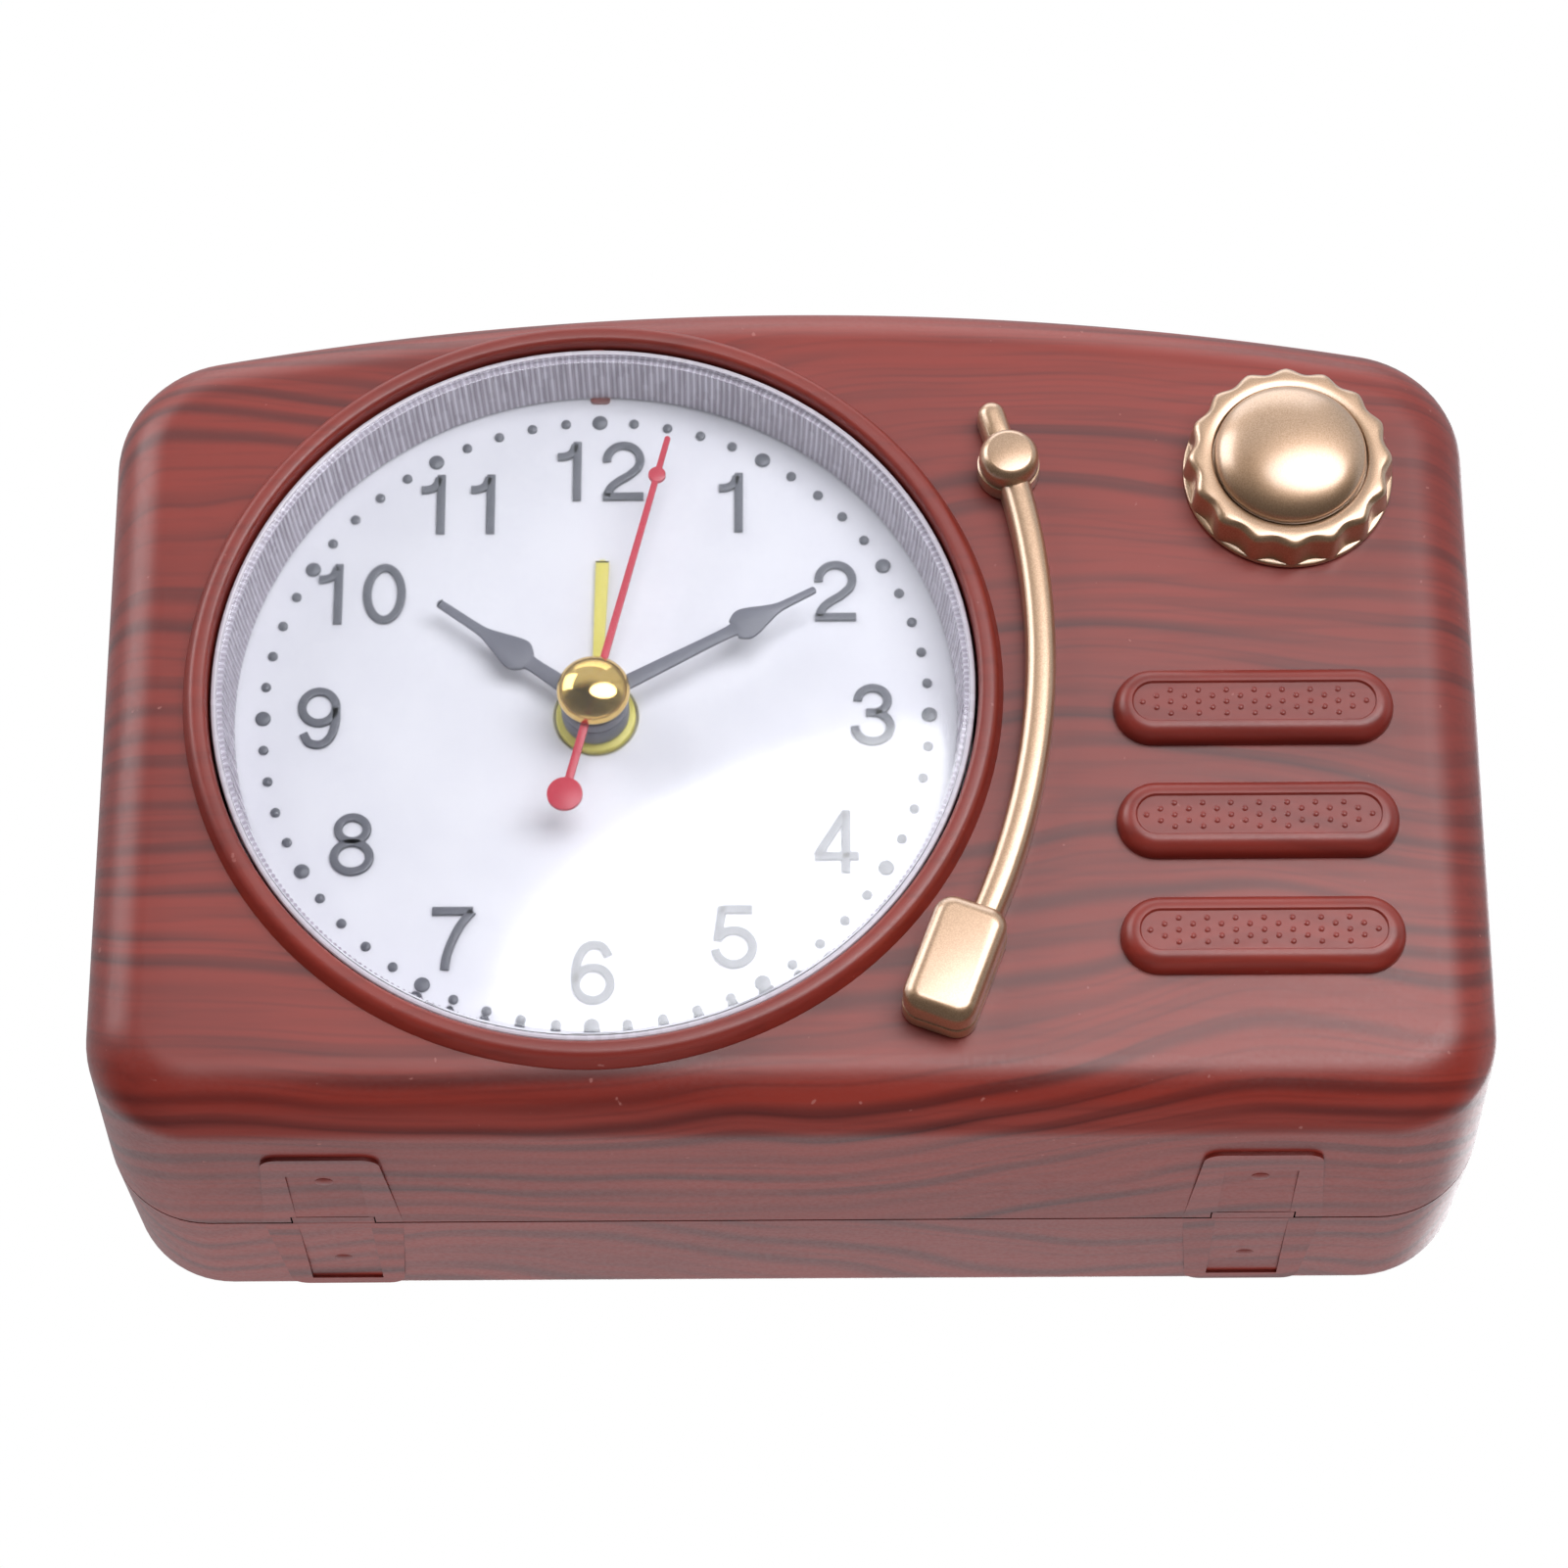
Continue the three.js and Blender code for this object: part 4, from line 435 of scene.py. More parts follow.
def spun(bm, angle, axis="Y"):
    """Turns a shape about an axis; a positive angle about Y is clockwise from the front."""
    bmesh.ops.rotate(bm, verts=bm.verts, cent=(0, 0, 0), matrix=Matrix.Rotation(angle, 3, axis))
    return bm


def revolve(profile, steps, place=(0.0, 0.0), angle=TURN, start=0.0):
    """Turns a profile of (radius, depth) pairs about an axis along Y through `place`."""
    bm = bmesh.new()
    points = [(r * math.cos(start), at_depth(d), r * math.sin(start)) for r, d in profile]
    ring = profile[0] == profile[-1]
    verts, edges = outline(bm, points[:-1] if ring else points, closed=ring)
    bmesh.ops.spin(
        bm, geom=verts + edges, cent=(0, 0, 0), axis=(0, -1, 0), dvec=(0, 0, 0), angle=angle,
        steps=steps, use_merge=angle == TURN, use_duplicate=False,
    )
    return shifted(closed_up(bm), place[0], 0, place[1])


def plate(points, depth, thick, edge=0.0, edge_steps=2):
    """A plate with an outline in x and z, from `depth` towards the front by `thick`."""
    bm = bmesh.new()
    outline(bm, [(x, at_depth(depth), z) for x, z in points])
    lift(bm, filled(bm), (0, -thick, 0))
    bmesh.ops.recalc_face_normals(bm, faces=bm.faces)
    if edge:
        rounded(bm, list(facing(bm, (0, -1, 0)).edges), edge, edge_steps)
    return bm


def stacked(levels):
    """A shape through outlines in x and z, one at each depth, with its two ends closed."""
    bm = bmesh.new()
    loops = [outline(bm, [(x, at_depth(depth), z) for x, z in points])[1] for points, depth in levels]
    for first, second in zip(loops, loops[1:]):
        bmesh.ops.bridge_loops(bm, edges=first + second)
    for loop in (loops[0], loops[-1]):
        bmesh.ops.contextual_create(bm, geom=loop)
    bmesh.ops.recalc_face_normals(bm, faces=bm.faces)
    return bm


def bow(x, z, rx, rz, start, end, steps=20):
    """Points along part of an oval, from one angle to another in degrees."""
    angles = [math.radians(start + (end - start) * i / steps) for i in range(steps + 1)]
    return [(x + rx * math.cos(angle), z + rz * math.sin(angle)) for angle in angles]


def quarter(across, along, steps):
    """Steps in from the side of a quarter oval, each with the rise to its crown."""
    return [(across - width, rise) for width, rise in bow(0, 0, across, along, 0, 90, steps)]


def disc(radius, steps=32, x=0.0, z=0.0):
    return bow(x, z, radius, radius, 0, 360, steps)[:-1]


def rounded_box(width, height, corner, x=0.0, z=0.0, steps=6):
    points = []
    for turn, (right, up) in enumerate(((1, 1), (-1, 1), (-1, -1), (1, -1))):
        centre = (x + right * (width / 2 - corner), z + up * (height / 2 - corner))
        points += bow(*centre, corner, corner, 90 * turn, 90 * (turn + 1), steps)
    return points


def slab(width, height, corner, place, base, crown, edge, steps=4):
    """A plate from depth `base` to depth `crown`, whose crown end has rounded edges."""
    way = 1.0 if crown > base else -1.0
    rise_levels = [(inset, crown - way * (edge - rise)) for inset, rise in quarter(edge, edge, steps)]
    return stacked([
        (rounded_box(width - inset * 2, height - inset * 2, corner - inset, *place, 8), depth)
        for inset, depth in [(0.0, base), *rise_levels]
    ])


def block(x0, x1, front, back, z0, z1):
    bm = bmesh.new()
    bmesh.ops.create_cube(bm, size=1.0)
    bmesh.ops.scale(bm, verts=bm.verts, vec=(x1 - x0, back - front, z1 - z0))
    return shifted(bm, (x0 + x1) / 2, at_depth((front + back) / 2), (z0 + z1) / 2)


def rod(radius, front, back, x, z, steps=24):
    return plate(disc(radius, steps, x, z), back, back - front)


def set_down(shape):
    """A mesh with the faces of a shape, which is used up."""
    mesh = bpy.data.meshes.new("part")
    shape.to_mesh(mesh)
    shape.free()
    return mesh


def joined(*shapes):
    """One shape from several."""
    whole = bmesh.new()
    for shape in shapes:
        mesh = set_down(shape)
        whole.from_mesh(mesh)
        bpy.data.meshes.remove(mesh)
    return whole


def copied(shape, moves):
    """One shape from copies of another, each with its own move."""
    mesh = set_down(shape)
    whole = bmesh.new()
    for move in moves:
        before = len(whole.verts)
        whole.from_mesh(mesh)
        whole.verts.ensure_lookup_table()
        bmesh.ops.transform(whole, verts=whole.verts[before:], matrix=move)
    bpy.data.meshes.remove(mesh)
    return whole


def scattered(shape, places):
    """Copies of a small shape at places in x and z."""
    return copied(shape, [Matrix.Translation((x, 0, z)) for x, z in places])


def repeated(sector, count):
    """A whole turn from one sector about the axis through the origin."""
    return closed_up(copied(sector, [Matrix.Rotation(-TURN * i / count, 4, "Y") for i in range(count)]), 1e-3)


def carved(shape, *cutters):
    """A shape less its cutters."""
    body, tool = (bpy.data.objects.new("part", set_down(part)) for part in (shape, joined(*cutters)))
    for thing in (body, tool):
        bpy.context.scene.collection.objects.link(thing)
    change = body.modifiers.new("carve", "BOOLEAN")
    change.operation = "DIFFERENCE"
    change.solver = "EXACT"
    change.use_self = len(cutters) > 1
    change.object = tool
    ready = body.evaluated_get(bpy.context.evaluated_depsgraph_get())
    result = bmesh.new()
    result.from_mesh(ready.data)
    for thing in (body, tool):
        mesh = thing.data
        bpy.data.objects.remove(thing)
        bpy.data.meshes.remove(mesh)
    bmesh.ops.remove_doubles(result, verts=result.verts, dist=MERGE)
    return result


def fluted(profile, flutes, per, depth, rim, span):
    """A turned body with hollow flutes between soft ridges.

    The flutes reach their full depth a little outside radius `rim`, and lie between two depths.
    """
    sector = revolve(profile, per, angle=TURN / flutes)
    front, rear = span
    for vert in sector.verts:
        radius = math.hypot(vert.co.x, vert.co.z)
        if radius >= rim and front < vert.co.y - FACE_Y < rear:
            wave = math.sin(math.pi * ((math.atan2(vert.co.z, vert.co.x) / TURN * flutes) % 1.0))
            scoop = FLUTE_ROUND * wave + (1 - FLUTE_ROUND) * wave ** 2
            draw = 1 - depth * scoop * min(1.0, (radius - rim) / FLUTE_EASE) / radius
            vert.co.x *= draw
            vert.co.z *= draw
    return repeated(sector, flutes)


def polyline(curve, points, closed):
    """Adds straight stretches through points in x and z to a curve, in the curve's own plane."""
    spline = curve.splines.new("POLY")
    spline.points.add(len(points) - 1)
    for point, (x, z) in zip(spline.points, points):
        point.co = (x, z, 0, 1)
    spline.use_cyclic_u = closed


def strip(paths, width, rise, rounding=0.12):
    """Flat raised strips along paths in x and z, each a list of points and whether it closes."""
    rim = bpy.data.curves.new("strip_rim", "CURVE")
    polyline(rim, rounded_box(width, rise * 2, rounding, steps=3), True)
    rim_object = bpy.data.objects.new("strip_rim", rim)
    line = bpy.data.curves.new("strip", "CURVE")
    line.dimensions = "3D"
    line.twist_mode = "Z_UP"
    line.bevel_mode = "OBJECT"
    line.bevel_object = rim_object
    line.use_fill_caps = True
    for points, closed in paths:
        polyline(line, points, closed)
    line_object = bpy.data.objects.new("strip", line)
    for thing in (rim_object, line_object):
        bpy.context.scene.collection.objects.link(thing)
    ready = line_object.evaluated_get(bpy.context.evaluated_depsgraph_get())
    bm = bmesh.new()
    bm.from_mesh(ready.to_mesh())
    ready.to_mesh_clear()
    for thing, curve in ((line_object, line), (rim_object, rim)):
        bpy.data.objects.remove(thing)
        bpy.data.curves.remove(curve)
    return spun(closed_up(bm), QUARTER, axis="X")


def flowing(points, between=6):
    """Points on a smooth line through a few given ones."""
    ends = [points[0], *points, points[-1]]
    smooth = []
    for a, b, c, d in zip(ends, ends[1:], ends[2:], ends[3:]):
        for i in range(between):
            t = i / between
            smooth.append(tuple(
                0.5 * (2 * q + (r - p) * t + (2 * p - 5 * q + 4 * r - w) * t ** 2
                       + (3 * q - p - 3 * r + w) * t ** 3)
                for p, q, r, w in zip(a, b, c, d)
            ))
    return [*smooth, points[-1]]


def keep(bm, name, finish, body="case", stands_for=(), smooth=32.0):
    """Makes a finished piece of a shape and hangs it on its body."""
    bmesh.ops.scale(bm, verts=bm.verts, vec=(MM, MM, MM))
    mesh = set_down(bm)
    mesh.name = name
    mesh.shade_smooth()
    mesh.set_sharp_from_angle(angle=math.radians(smooth))
    mesh.materials.append(FINISHES[finish])
    piece = bpy.data.objects.new(name, mesh)
    bpy.context.scene.collection.objects.link(piece)
    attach(piece, body)
    if stands_for:
        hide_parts(*stands_for)


# What a user may change

def tint(name, description, code):
    return bpy.props.FloatVectorProperty(
        name=name, description=description, default=colour(code), size=4, subtype="COLOR", min=0, max=1,
    )


def length(name, description, default):
    return bpy.props.FloatProperty(
        name=name, description=description, default=default * MM, min=0, precision=5, unit="LENGTH",
    )


def heading(name, default):
    return bpy.props.FloatProperty(
        name=name, description="Clockwise from the 12, before the clock runs", default=math.radians(default),
        subtype="ANGLE",
    )


class ClockFinish(bpy.types.PropertyGroup):
    """Colours and grain of the clock's finishes."""

    film_red: tint("Film", "Ground colour of the wood grain film", "7a271e")
    film_warm: tint("Film, warm", "Second ground colour of the film", "862c21")
    film_line: tint("Grain", "Colour of the grain lines", "4e1815")
    film_dust: tint("Dust", "Colour of the fine specks on the film", "a86a62")
    paint_gold: tint("Champagne", "Light tone of the metallic paint", "c29d7b")
    paint_deep: tint("Champagne, deep", "Dark tone of the metallic paint", "ab8563")
    # The lens wall's three tones are painted light: its glint lines, its reflected ground and the shade in
    # that reflection.
    wall_light: tint("Lens wall, glint", "Light lines of the lens wall", "dcd8e0")
    wall_mid: tint("Lens wall", "Ground tone of the lens wall", "aca3b0")
    wall_shade: tint("Lens wall, shade", "Dark tone of the lens wall", "968b98")
    lens_tint: bpy.props.FloatVectorProperty(
        name="Lens", description="Tint of the clear lens",
        default=(0.97, 0.97, 0.99, 1.0), size=4, subtype="COLOR", min=0, max=1,
    )
    rings: bpy.props.FloatProperty(
        name="Grain lines", description="Grain lines per metre of height", default=350.0, min=0,
    )
    sway: bpy.props.FloatProperty(
        name="Sway", description="How far the grain lines wander, in lines", default=11.0, min=0,
    )
    ribs: bpy.props.FloatProperty(
        name="Lens ribs", description="Ribs around the lens wall", default=360.0, min=0,
    )


class ClockShape(bpy.types.PropertyGroup):
    """Sizes of the clock's finer forms, and the time that it shows."""

    numeral_height: length("Numerals", "Height of the numerals", 6.6)
    stroke_width: length("Strokes", "Width of the numerals' strokes", 0.86)
    lens_crown: length("Lens crown", "Height of the middle of the lens above its rim", 2.1)
    flute_depth: length("Flute depth", "Depth of the flutes of the round knob", 0.55)
    flutes: bpy.props.IntProperty(
        name="Flutes", description="Flutes around the round knob", default=16, min=3,
    )
    hour_angle: heading("Hour hand", 306)
    minute_angle: heading("Minute hand", 61.5)
    second_angle: heading("Second hand", 14)
    alarm_angle: heading("Alarm hand", 1.5)


class CLOCK_OT_finishes(bpy.types.Operator):
    """Mix the materials and give each carried-over solid its own"""

    bl_idname = "clock.finishes"
    bl_label = "Finishes"

    def execute(self, context):
        wishes = context.scene.clock_finish
        FINISHES["film"] = wood_film("film", wishes)
        FINISHES["film_back"] = wood_film(
            "film_back", wishes, lines=0.85, lean=-0.6, face=at_depth(CASE_DEPTH) * MM, arcs=1.3,
        )
        FINISHES["film_plain"] = wood_film("film_plain", wishes, lines=0.12)
        FINISHES["film_key"] = wood_film("film_key", wishes, lines=0.3)
        # The lens wall's finish is painted reflection: glint lines and reflected tones in its colour.
        FINISHES["lens_wall"] = ribbed_silver("lens_wall", wishes)
        FINISHES["champagne"] = champagne_paint("champagne", wishes)
        FINISHES["lens"] = lens_plastic("lens", wishes)
        for name, values in MOULDED.items():
            FINISHES[name] = moulded(name, *values)
        for finish, names in DRESSED.items():
            for name in names:
                mesh = NODES[name].data
                mesh.materials.clear()
                mesh.materials.append(FINISHES[finish])
        return {"FINISHED"}


# Stage, in metres. The camera stands a little below the clock and looks up at it.
CAMERA_PLACE = (0.00379, -0.48125, -0.17482)
CAMERA_WAY = (-0.0085, 0.9099, 0.4147)
CAMERA_UP = (0.0064, -0.4147, 0.9100)
CAMERA_LENS = 119.65
CAMERA_SENSOR = 36
AIM = (0.0, 0.0, 0.045)
LAMP_COLOUR = (0.97, 0.98, 1.0)
AIR_COLOUR = (0.93, 0.95, 1.0, 1)
ROOM_COLOUR = (0.9, 0.96, 1.0, 1)
ROOM_WAY = (0.0, 0.5, 0.87)        # towards the pale part of the room
FLOOR_COLOUR = (0.86, 0.86, 0.87, 1)
FLOOR_HALF = 3.0
FLOOR_DROP = 0.0002
FLOOR_FADE = (0.12, 0.42)          # the floor fades out between these distances
# Each lamp with its place, its two sizes and its power
LAMPS = (
    ("front_panel", (0.3, -0.85, 0.165), (0.94, 0.5), 7.6),
    ("top_panel", (-0.05, -0.2, 0.95), (0.9, 0.6), 2.8),
    ("left_panel", (-0.85, -0.5, 0.6), (0.7, 0.6), 5.4),
    ("low_panel", (0.0, 0.75, -0.5), (1.1, 0.5), 0.6),
    ("under_panel", (0.0, 0.2, -0.95), (1.4, 0.9), 8.4),
    ("rear_panel", (0.2, 0.95, 0.35), (0.8, 0.6), 4.8),
)


def surroundings():
    """White behind the clock; a room, dark below and pale above, in its reflections."""
    air = Finish(bpy.data.worlds.new("surroundings"), "ShaderNodeOutputWorld")
    camera_ray = air.ray("Is Camera Ray")
    shiny = air.maths("MAXIMUM", camera_ray, air.ray("Is Glossy Ray"))
    shiny = air.maths("MAXIMUM", shiny, air.ray("Is Transmission Ray"))
    toward = air.node("ShaderNodeVectorMath", {"operation": "DOT_PRODUCT"}, {
        0: air.node("ShaderNodeTexCoord", out="Generated"), 1: ROOM_WAY,
    }, out="Value")
    glow = air.ease(toward, -0.24, 0.08, 0.03, 0.74)
    lit = air.node("ShaderNodeBackground", {}, {"Color": AIR_COLOUR, "Strength": 0.3})
    room = air.node("ShaderNodeBackground", {}, {"Color": ROOM_COLOUR, "Strength": glow})
    pale = air.node("ShaderNodeBackground", {}, {"Color": (1, 1, 1, 1), "Strength": 1.0})
    air.show(air.mixed(camera_ray, air.mixed(shiny, lit, room), pale))
    return air.owner


def floor_film():
    """Pale floor, seen from above and near the clock only."""
    finish = Finish(bpy.data.materials.new("pale_floor"))
    white = finish.node("ShaderNodeBsdfDiffuse", {}, {"Color": FLOOR_COLOUR})
    gone = finish.node("ShaderNodeBsdfTransparent")
    below = finish.node("ShaderNodeNewGeometry", out="Backfacing")
    spread = finish.node("ShaderNodeVectorMath", {"operation": "LENGTH"}, {0: finish.place()}, out="Value")
    near = finish.ease(spread, *FLOOR_FADE, 1.0, 0.0)
    finish.show(finish.mixed(finish.ray("Is Camera Ray") * (1.0 - below) * near, gone, white))
    return finish.owner


class CLOCK_OT_stage(bpy.types.Operator):
    """Set the camera, the floor, the pale surroundings and the studio lamps"""

    bl_idname = "clock.stage"
    bl_label = "Stage"

    def execute(self, context):
        scene = context.scene
        scene.view_settings.view_transform = "Standard"
        camera_data = bpy.data.cameras.new("camera")
        camera_data.sensor_width = CAMERA_SENSOR
        camera_data.lens = CAMERA_LENS
        camera_data.clip_start, camera_data.clip_end = 0.01, 20
        camera = bpy.data.objects.new("camera", camera_data)
        scene.collection.objects.link(camera)
        scene.camera = camera
        forward = Vector(CAMERA_WAY).normalized()
        right = forward.cross(Vector(CAMERA_UP)).normalized()
        turned = Matrix((right, right.cross(forward), -forward)).transposed()
        camera.matrix_world = Matrix.Translation(CAMERA_PLACE) @ turned.to_4x4()
        scene.world = surroundings()

        floor_shape = bmesh.new()
        bmesh.ops.create_grid(floor_shape, x_segments=2, y_segments=2, size=FLOOR_HALF)
        floor = bpy.data.objects.new("floor", set_down(floor_shape))
        scene.collection.objects.link(floor)
        floor.location.z = -FLOOR_DROP
        floor.data.materials.append(floor_film())

        for name, place, size, power in LAMPS:
            data = bpy.data.lights.new(name, "AREA")
            data.shape = "ELLIPSE" if name == "front_panel" else "RECTANGLE"
            data.size, data.size_y = size
            data.energy = power
            data.color = LAMP_COLOUR
            lamp = bpy.data.objects.new(name, data)
            scene.collection.objects.link(lamp)
            lamp.location = place
            lamp.visible_glossy = name != "under_panel"
            lamp.rotation_mode = "QUATERNION"
            lamp.rotation_quaternion = (Vector(AIM) - Vector(place)).to_track_quat("-Z", "Y")
        return {"FINISHED"}


# Case
BEZEL_ROLL = [                     # outwards from the opening, and up from the face
    (2.45, 0.0), (2.35, 0.22), (2.2, 0.55), (2.05, 0.95), (1.9, 1.3), (1.7, 1.57), (1.45, 1.72),
    (1.15, 1.75), (0.55, 1.75), (0.3, 1.68), (0.13, 1.5), (0.05, 1.2), (0.0, 0.8),
]
BEZEL_WIDTH = BEZEL_ROLL[0][0]
BEZEL_ROOT = 0.6
FOOT_X = 45.5
FOOT_WIDE, FOOT_NARROW = 13.8, 11.3  # at the seam, and at the far ends
FOOT_FRONT, FOOT_REAR = 9.9, 45.6
FOOT_CORNER = 1.6
FOOT_TOP = 1.2
GROOVE_HALF, GROOVE_DEPTH = 3.6, 0.3
GROOVE_FRONT, GROOVE_REAR = 14.2, 44.0
TONGUE_HALF, TONGUE_REACH = 4.2, 1.5
TONGUE_ROOM = 0.15
RIVETS = (16.4, 38.4)
RIVET_DOME = [(0.95, 0.26), (0.9, 0.14), (0.6, 0.04), (0.0, 0.0)]  # radius, and height of each level
RIVET_LOW = 0.08
LIP_SKIN = WALL + 0.3
LIP_THICK = 1.1
LIP_FRONT, LIP_REAR = 24.7, 29.0
LIP_EDGE = 0.2

# Pockets of the rear wall: width, height, corner radius and depth of the floor; then each with its wall
KNOB_APART = 13.16                 # dial centre to a setting knob, sideways
KNOB_RAISE = 13.0                  # and upwards
RECESS_PLACE = (DIAL_X, DIAL_Z + KNOB_RAISE)
RECESS, RECESS_TUB = (60.0, 34.0, 6.0, 39.0), (63.6, 37.6, 7.8, 37.2)
BAY_X, BAY_Z = BAY = (21.0, 28.0)
DOOR_SEAT, DOOR_TUB = (64.6, 21.1, 1.5, 46.9), (68.0, 24.4, 3.0, 45.3)
CELL_ROOM, CELL_TUB = (60.0, 15.6, 0.9, 30.9), (63.2, 18.8, 1.6, 29.3)
NOTCH = (12.0, 5.2, 1.2, CASE_DEPTH - 1.4)
NOTCH_RAISE = 10.3
MARK_LONG, MARK_THIN = 1.8, 0.4
MARK_FRONT, MARK_REAR = 30.8, 31.2
PLUS_X, MINUS_X = -22.0, 10.0      # from the middle of the bay
SOUND_X, SOUND_Z = middle("buzzer")
SOUND_PITCH = 4.2
SOUND_HOLES = [
    (SOUND_X + SOUND_PITCH * (a + b * 0.5), SOUND_Z + SOUND_PITCH * b * math.sin(math.pi / 3))
    for a in range(-2, 3) for b in range(-2, 3) if abs(a + b) <= 2
]


def case_outline(skin):
    """Outline of the case in x and z, `skin` inside its outer surface, from the arch's right end."""
    half, arch, low, top = SIDE - skin, ARCH - skin, LOW_CORNER - skin, TOP_CORNER - skin
    arch_z = HEIGHT - ARCH
    # Each top corner touches the arch and the upright side.
    fall = math.asin((half - top) / (arch - top))
    corner_x, corner_z = half - top, arch_z + (arch - top) * math.cos(fall)
    fall = math.degrees(fall)
    return [
        *bow(0, arch_z, arch, arch, 90 - fall, 90 + fall, 48),
        *bow(-corner_x, corner_z, top, top, 90 + fall, 180, 16)[1:],
        *bow(low - half, skin + low, low, low, 180, 270, 16),
        *bow(half - low, skin + low, low, low, 270, 360, 16),
        *bow(corner_x, corner_z, top, top, 0, 90 - fall, 16)[:-1],
    ]


def case_body(end_depth, start_depth, edge_radius, skin=0.0, reach=0.0):
    """Closed body of one half of the case, `skin` inside its outer surface.

    It starts `reach` beyond `start_depth` and narrows by the draft to a rounded end wall.
    """
    bm = bmesh.new()
    way = 1.0 if start_depth > end_depth else -1.0
    start = start_depth + way * reach
    outline(bm, [(x, at_depth(start), z) for x, z in case_outline(skin)])
    end = lift(bm, filled(bm), (0, end_depth + way * skin - start, 0))
    amount = abs(end_depth - start_depth) * math.tan(DRAFT)
    bmesh.ops.scale(
        bm, verts=list(end.verts), space=Matrix.Translation((0, 0, -HEIGHT / 2)),
        vec=(1 - amount / (SIDE - skin), 1.0, 1 - amount * 2 / (HEIGHT - skin * 2)),
    )
    bmesh.ops.recalc_face_normals(bm, faces=bm.faces)
    rounded(bm, list(facing(bm, (0, -way, 0)).edges), edge_radius - skin, 12)
    return bm


def front_half():
    """Front shell with its round opening, and notches where the rear half's tongues come through."""
    notches = [
        block(x - TONGUE_HALF, x + TONGUE_HALF, PARTING - TONGUE_REACH, PARTING + OVERRUN, -OVERRUN, FOOT_TOP)
        for x in (-FOOT_X, FOOT_X)
    ]
    return carved(
        case_body(0, PARTING, FRONT_EDGE), case_body(0, PARTING, FRONT_EDGE, WALL, OVERRUN),
        rod(OPENING + 1.45, -4, 6, DIAL_X, DIAL_Z, 128), *notches,
    )


def bezel_ring():
    """Rounded bezel with the well that runs back from it to the dial."""
    well = DIAL_DEPTH + DIAL_THICK
    root = (OPENING + BEZEL_WIDTH, BEZEL_ROOT)
    return revolve([
        root, *[(OPENING + out, -up) for out, up in BEZEL_ROLL],
        (OPENING, well), (OPENING + WALL, well), (OPENING + WALL, BEZEL_ROOT), root,
    ], 160, (DIAL_X, DIAL_Z))


def foot_half(start, end):
    """Half a pad, drawn in x and depth, that narrows from the seam and stands on the table."""
    bm = bmesh.new()
    wide, narrow = FOOT_WIDE / 2, FOOT_NARROW / 2
    verts = outline(bm, [
        (x, at_depth(depth), FOOT_TOP)
        for x, depth in ((-wide, start), (-narrow, end), (narrow, end), (wide, start))
    ])[0]
    filled(bm)
    rounded(bm, [verts[1], verts[2]], FOOT_CORNER, 6, "VERTICES")
    lift(bm, bm.faces[:][0], (0, 0, -FOOT_TOP))
    bmesh.ops.recalc_face_normals(bm, faces=bm.faces)
    return bm


def foot():
    """Both halves of a pad, with the groove along them, the tongue across the seam and two rivets."""
    beyond = PARTING + OVERRUN
    fore = carved(
        foot_half(PARTING, FOOT_FRONT),
        block(-GROOVE_HALF, GROOVE_HALF, GROOVE_FRONT, beyond, -OVERRUN, GROOVE_DEPTH),
        block(-TONGUE_HALF, TONGUE_HALF, PARTING - TONGUE_REACH, beyond, -OVERRUN, 2),
    )
    aft = carved(
        foot_half(PARTING + SEAM, FOOT_REAR),
        block(-GROOVE_HALF, GROOVE_HALF, PARTING, GROOVE_REAR, -OVERRUN, GROOVE_DEPTH),
    )
    half = TONGUE_HALF - TONGUE_ROOM
    tongue = block(
        -half, half, PARTING - TONGUE_REACH + TONGUE_ROOM, PARTING + TONGUE_REACH, 0.02, FOOT_TOP,
    )
    rivets = [
        shifted(spun(revolve(RIVET_DOME, 16), QUARTER, "X"), 0, at_depth(depth), RIVET_LOW - FACE_Y)
        for depth in RIVETS
    ]
    return joined(fore, aft, tongue, *rivets)


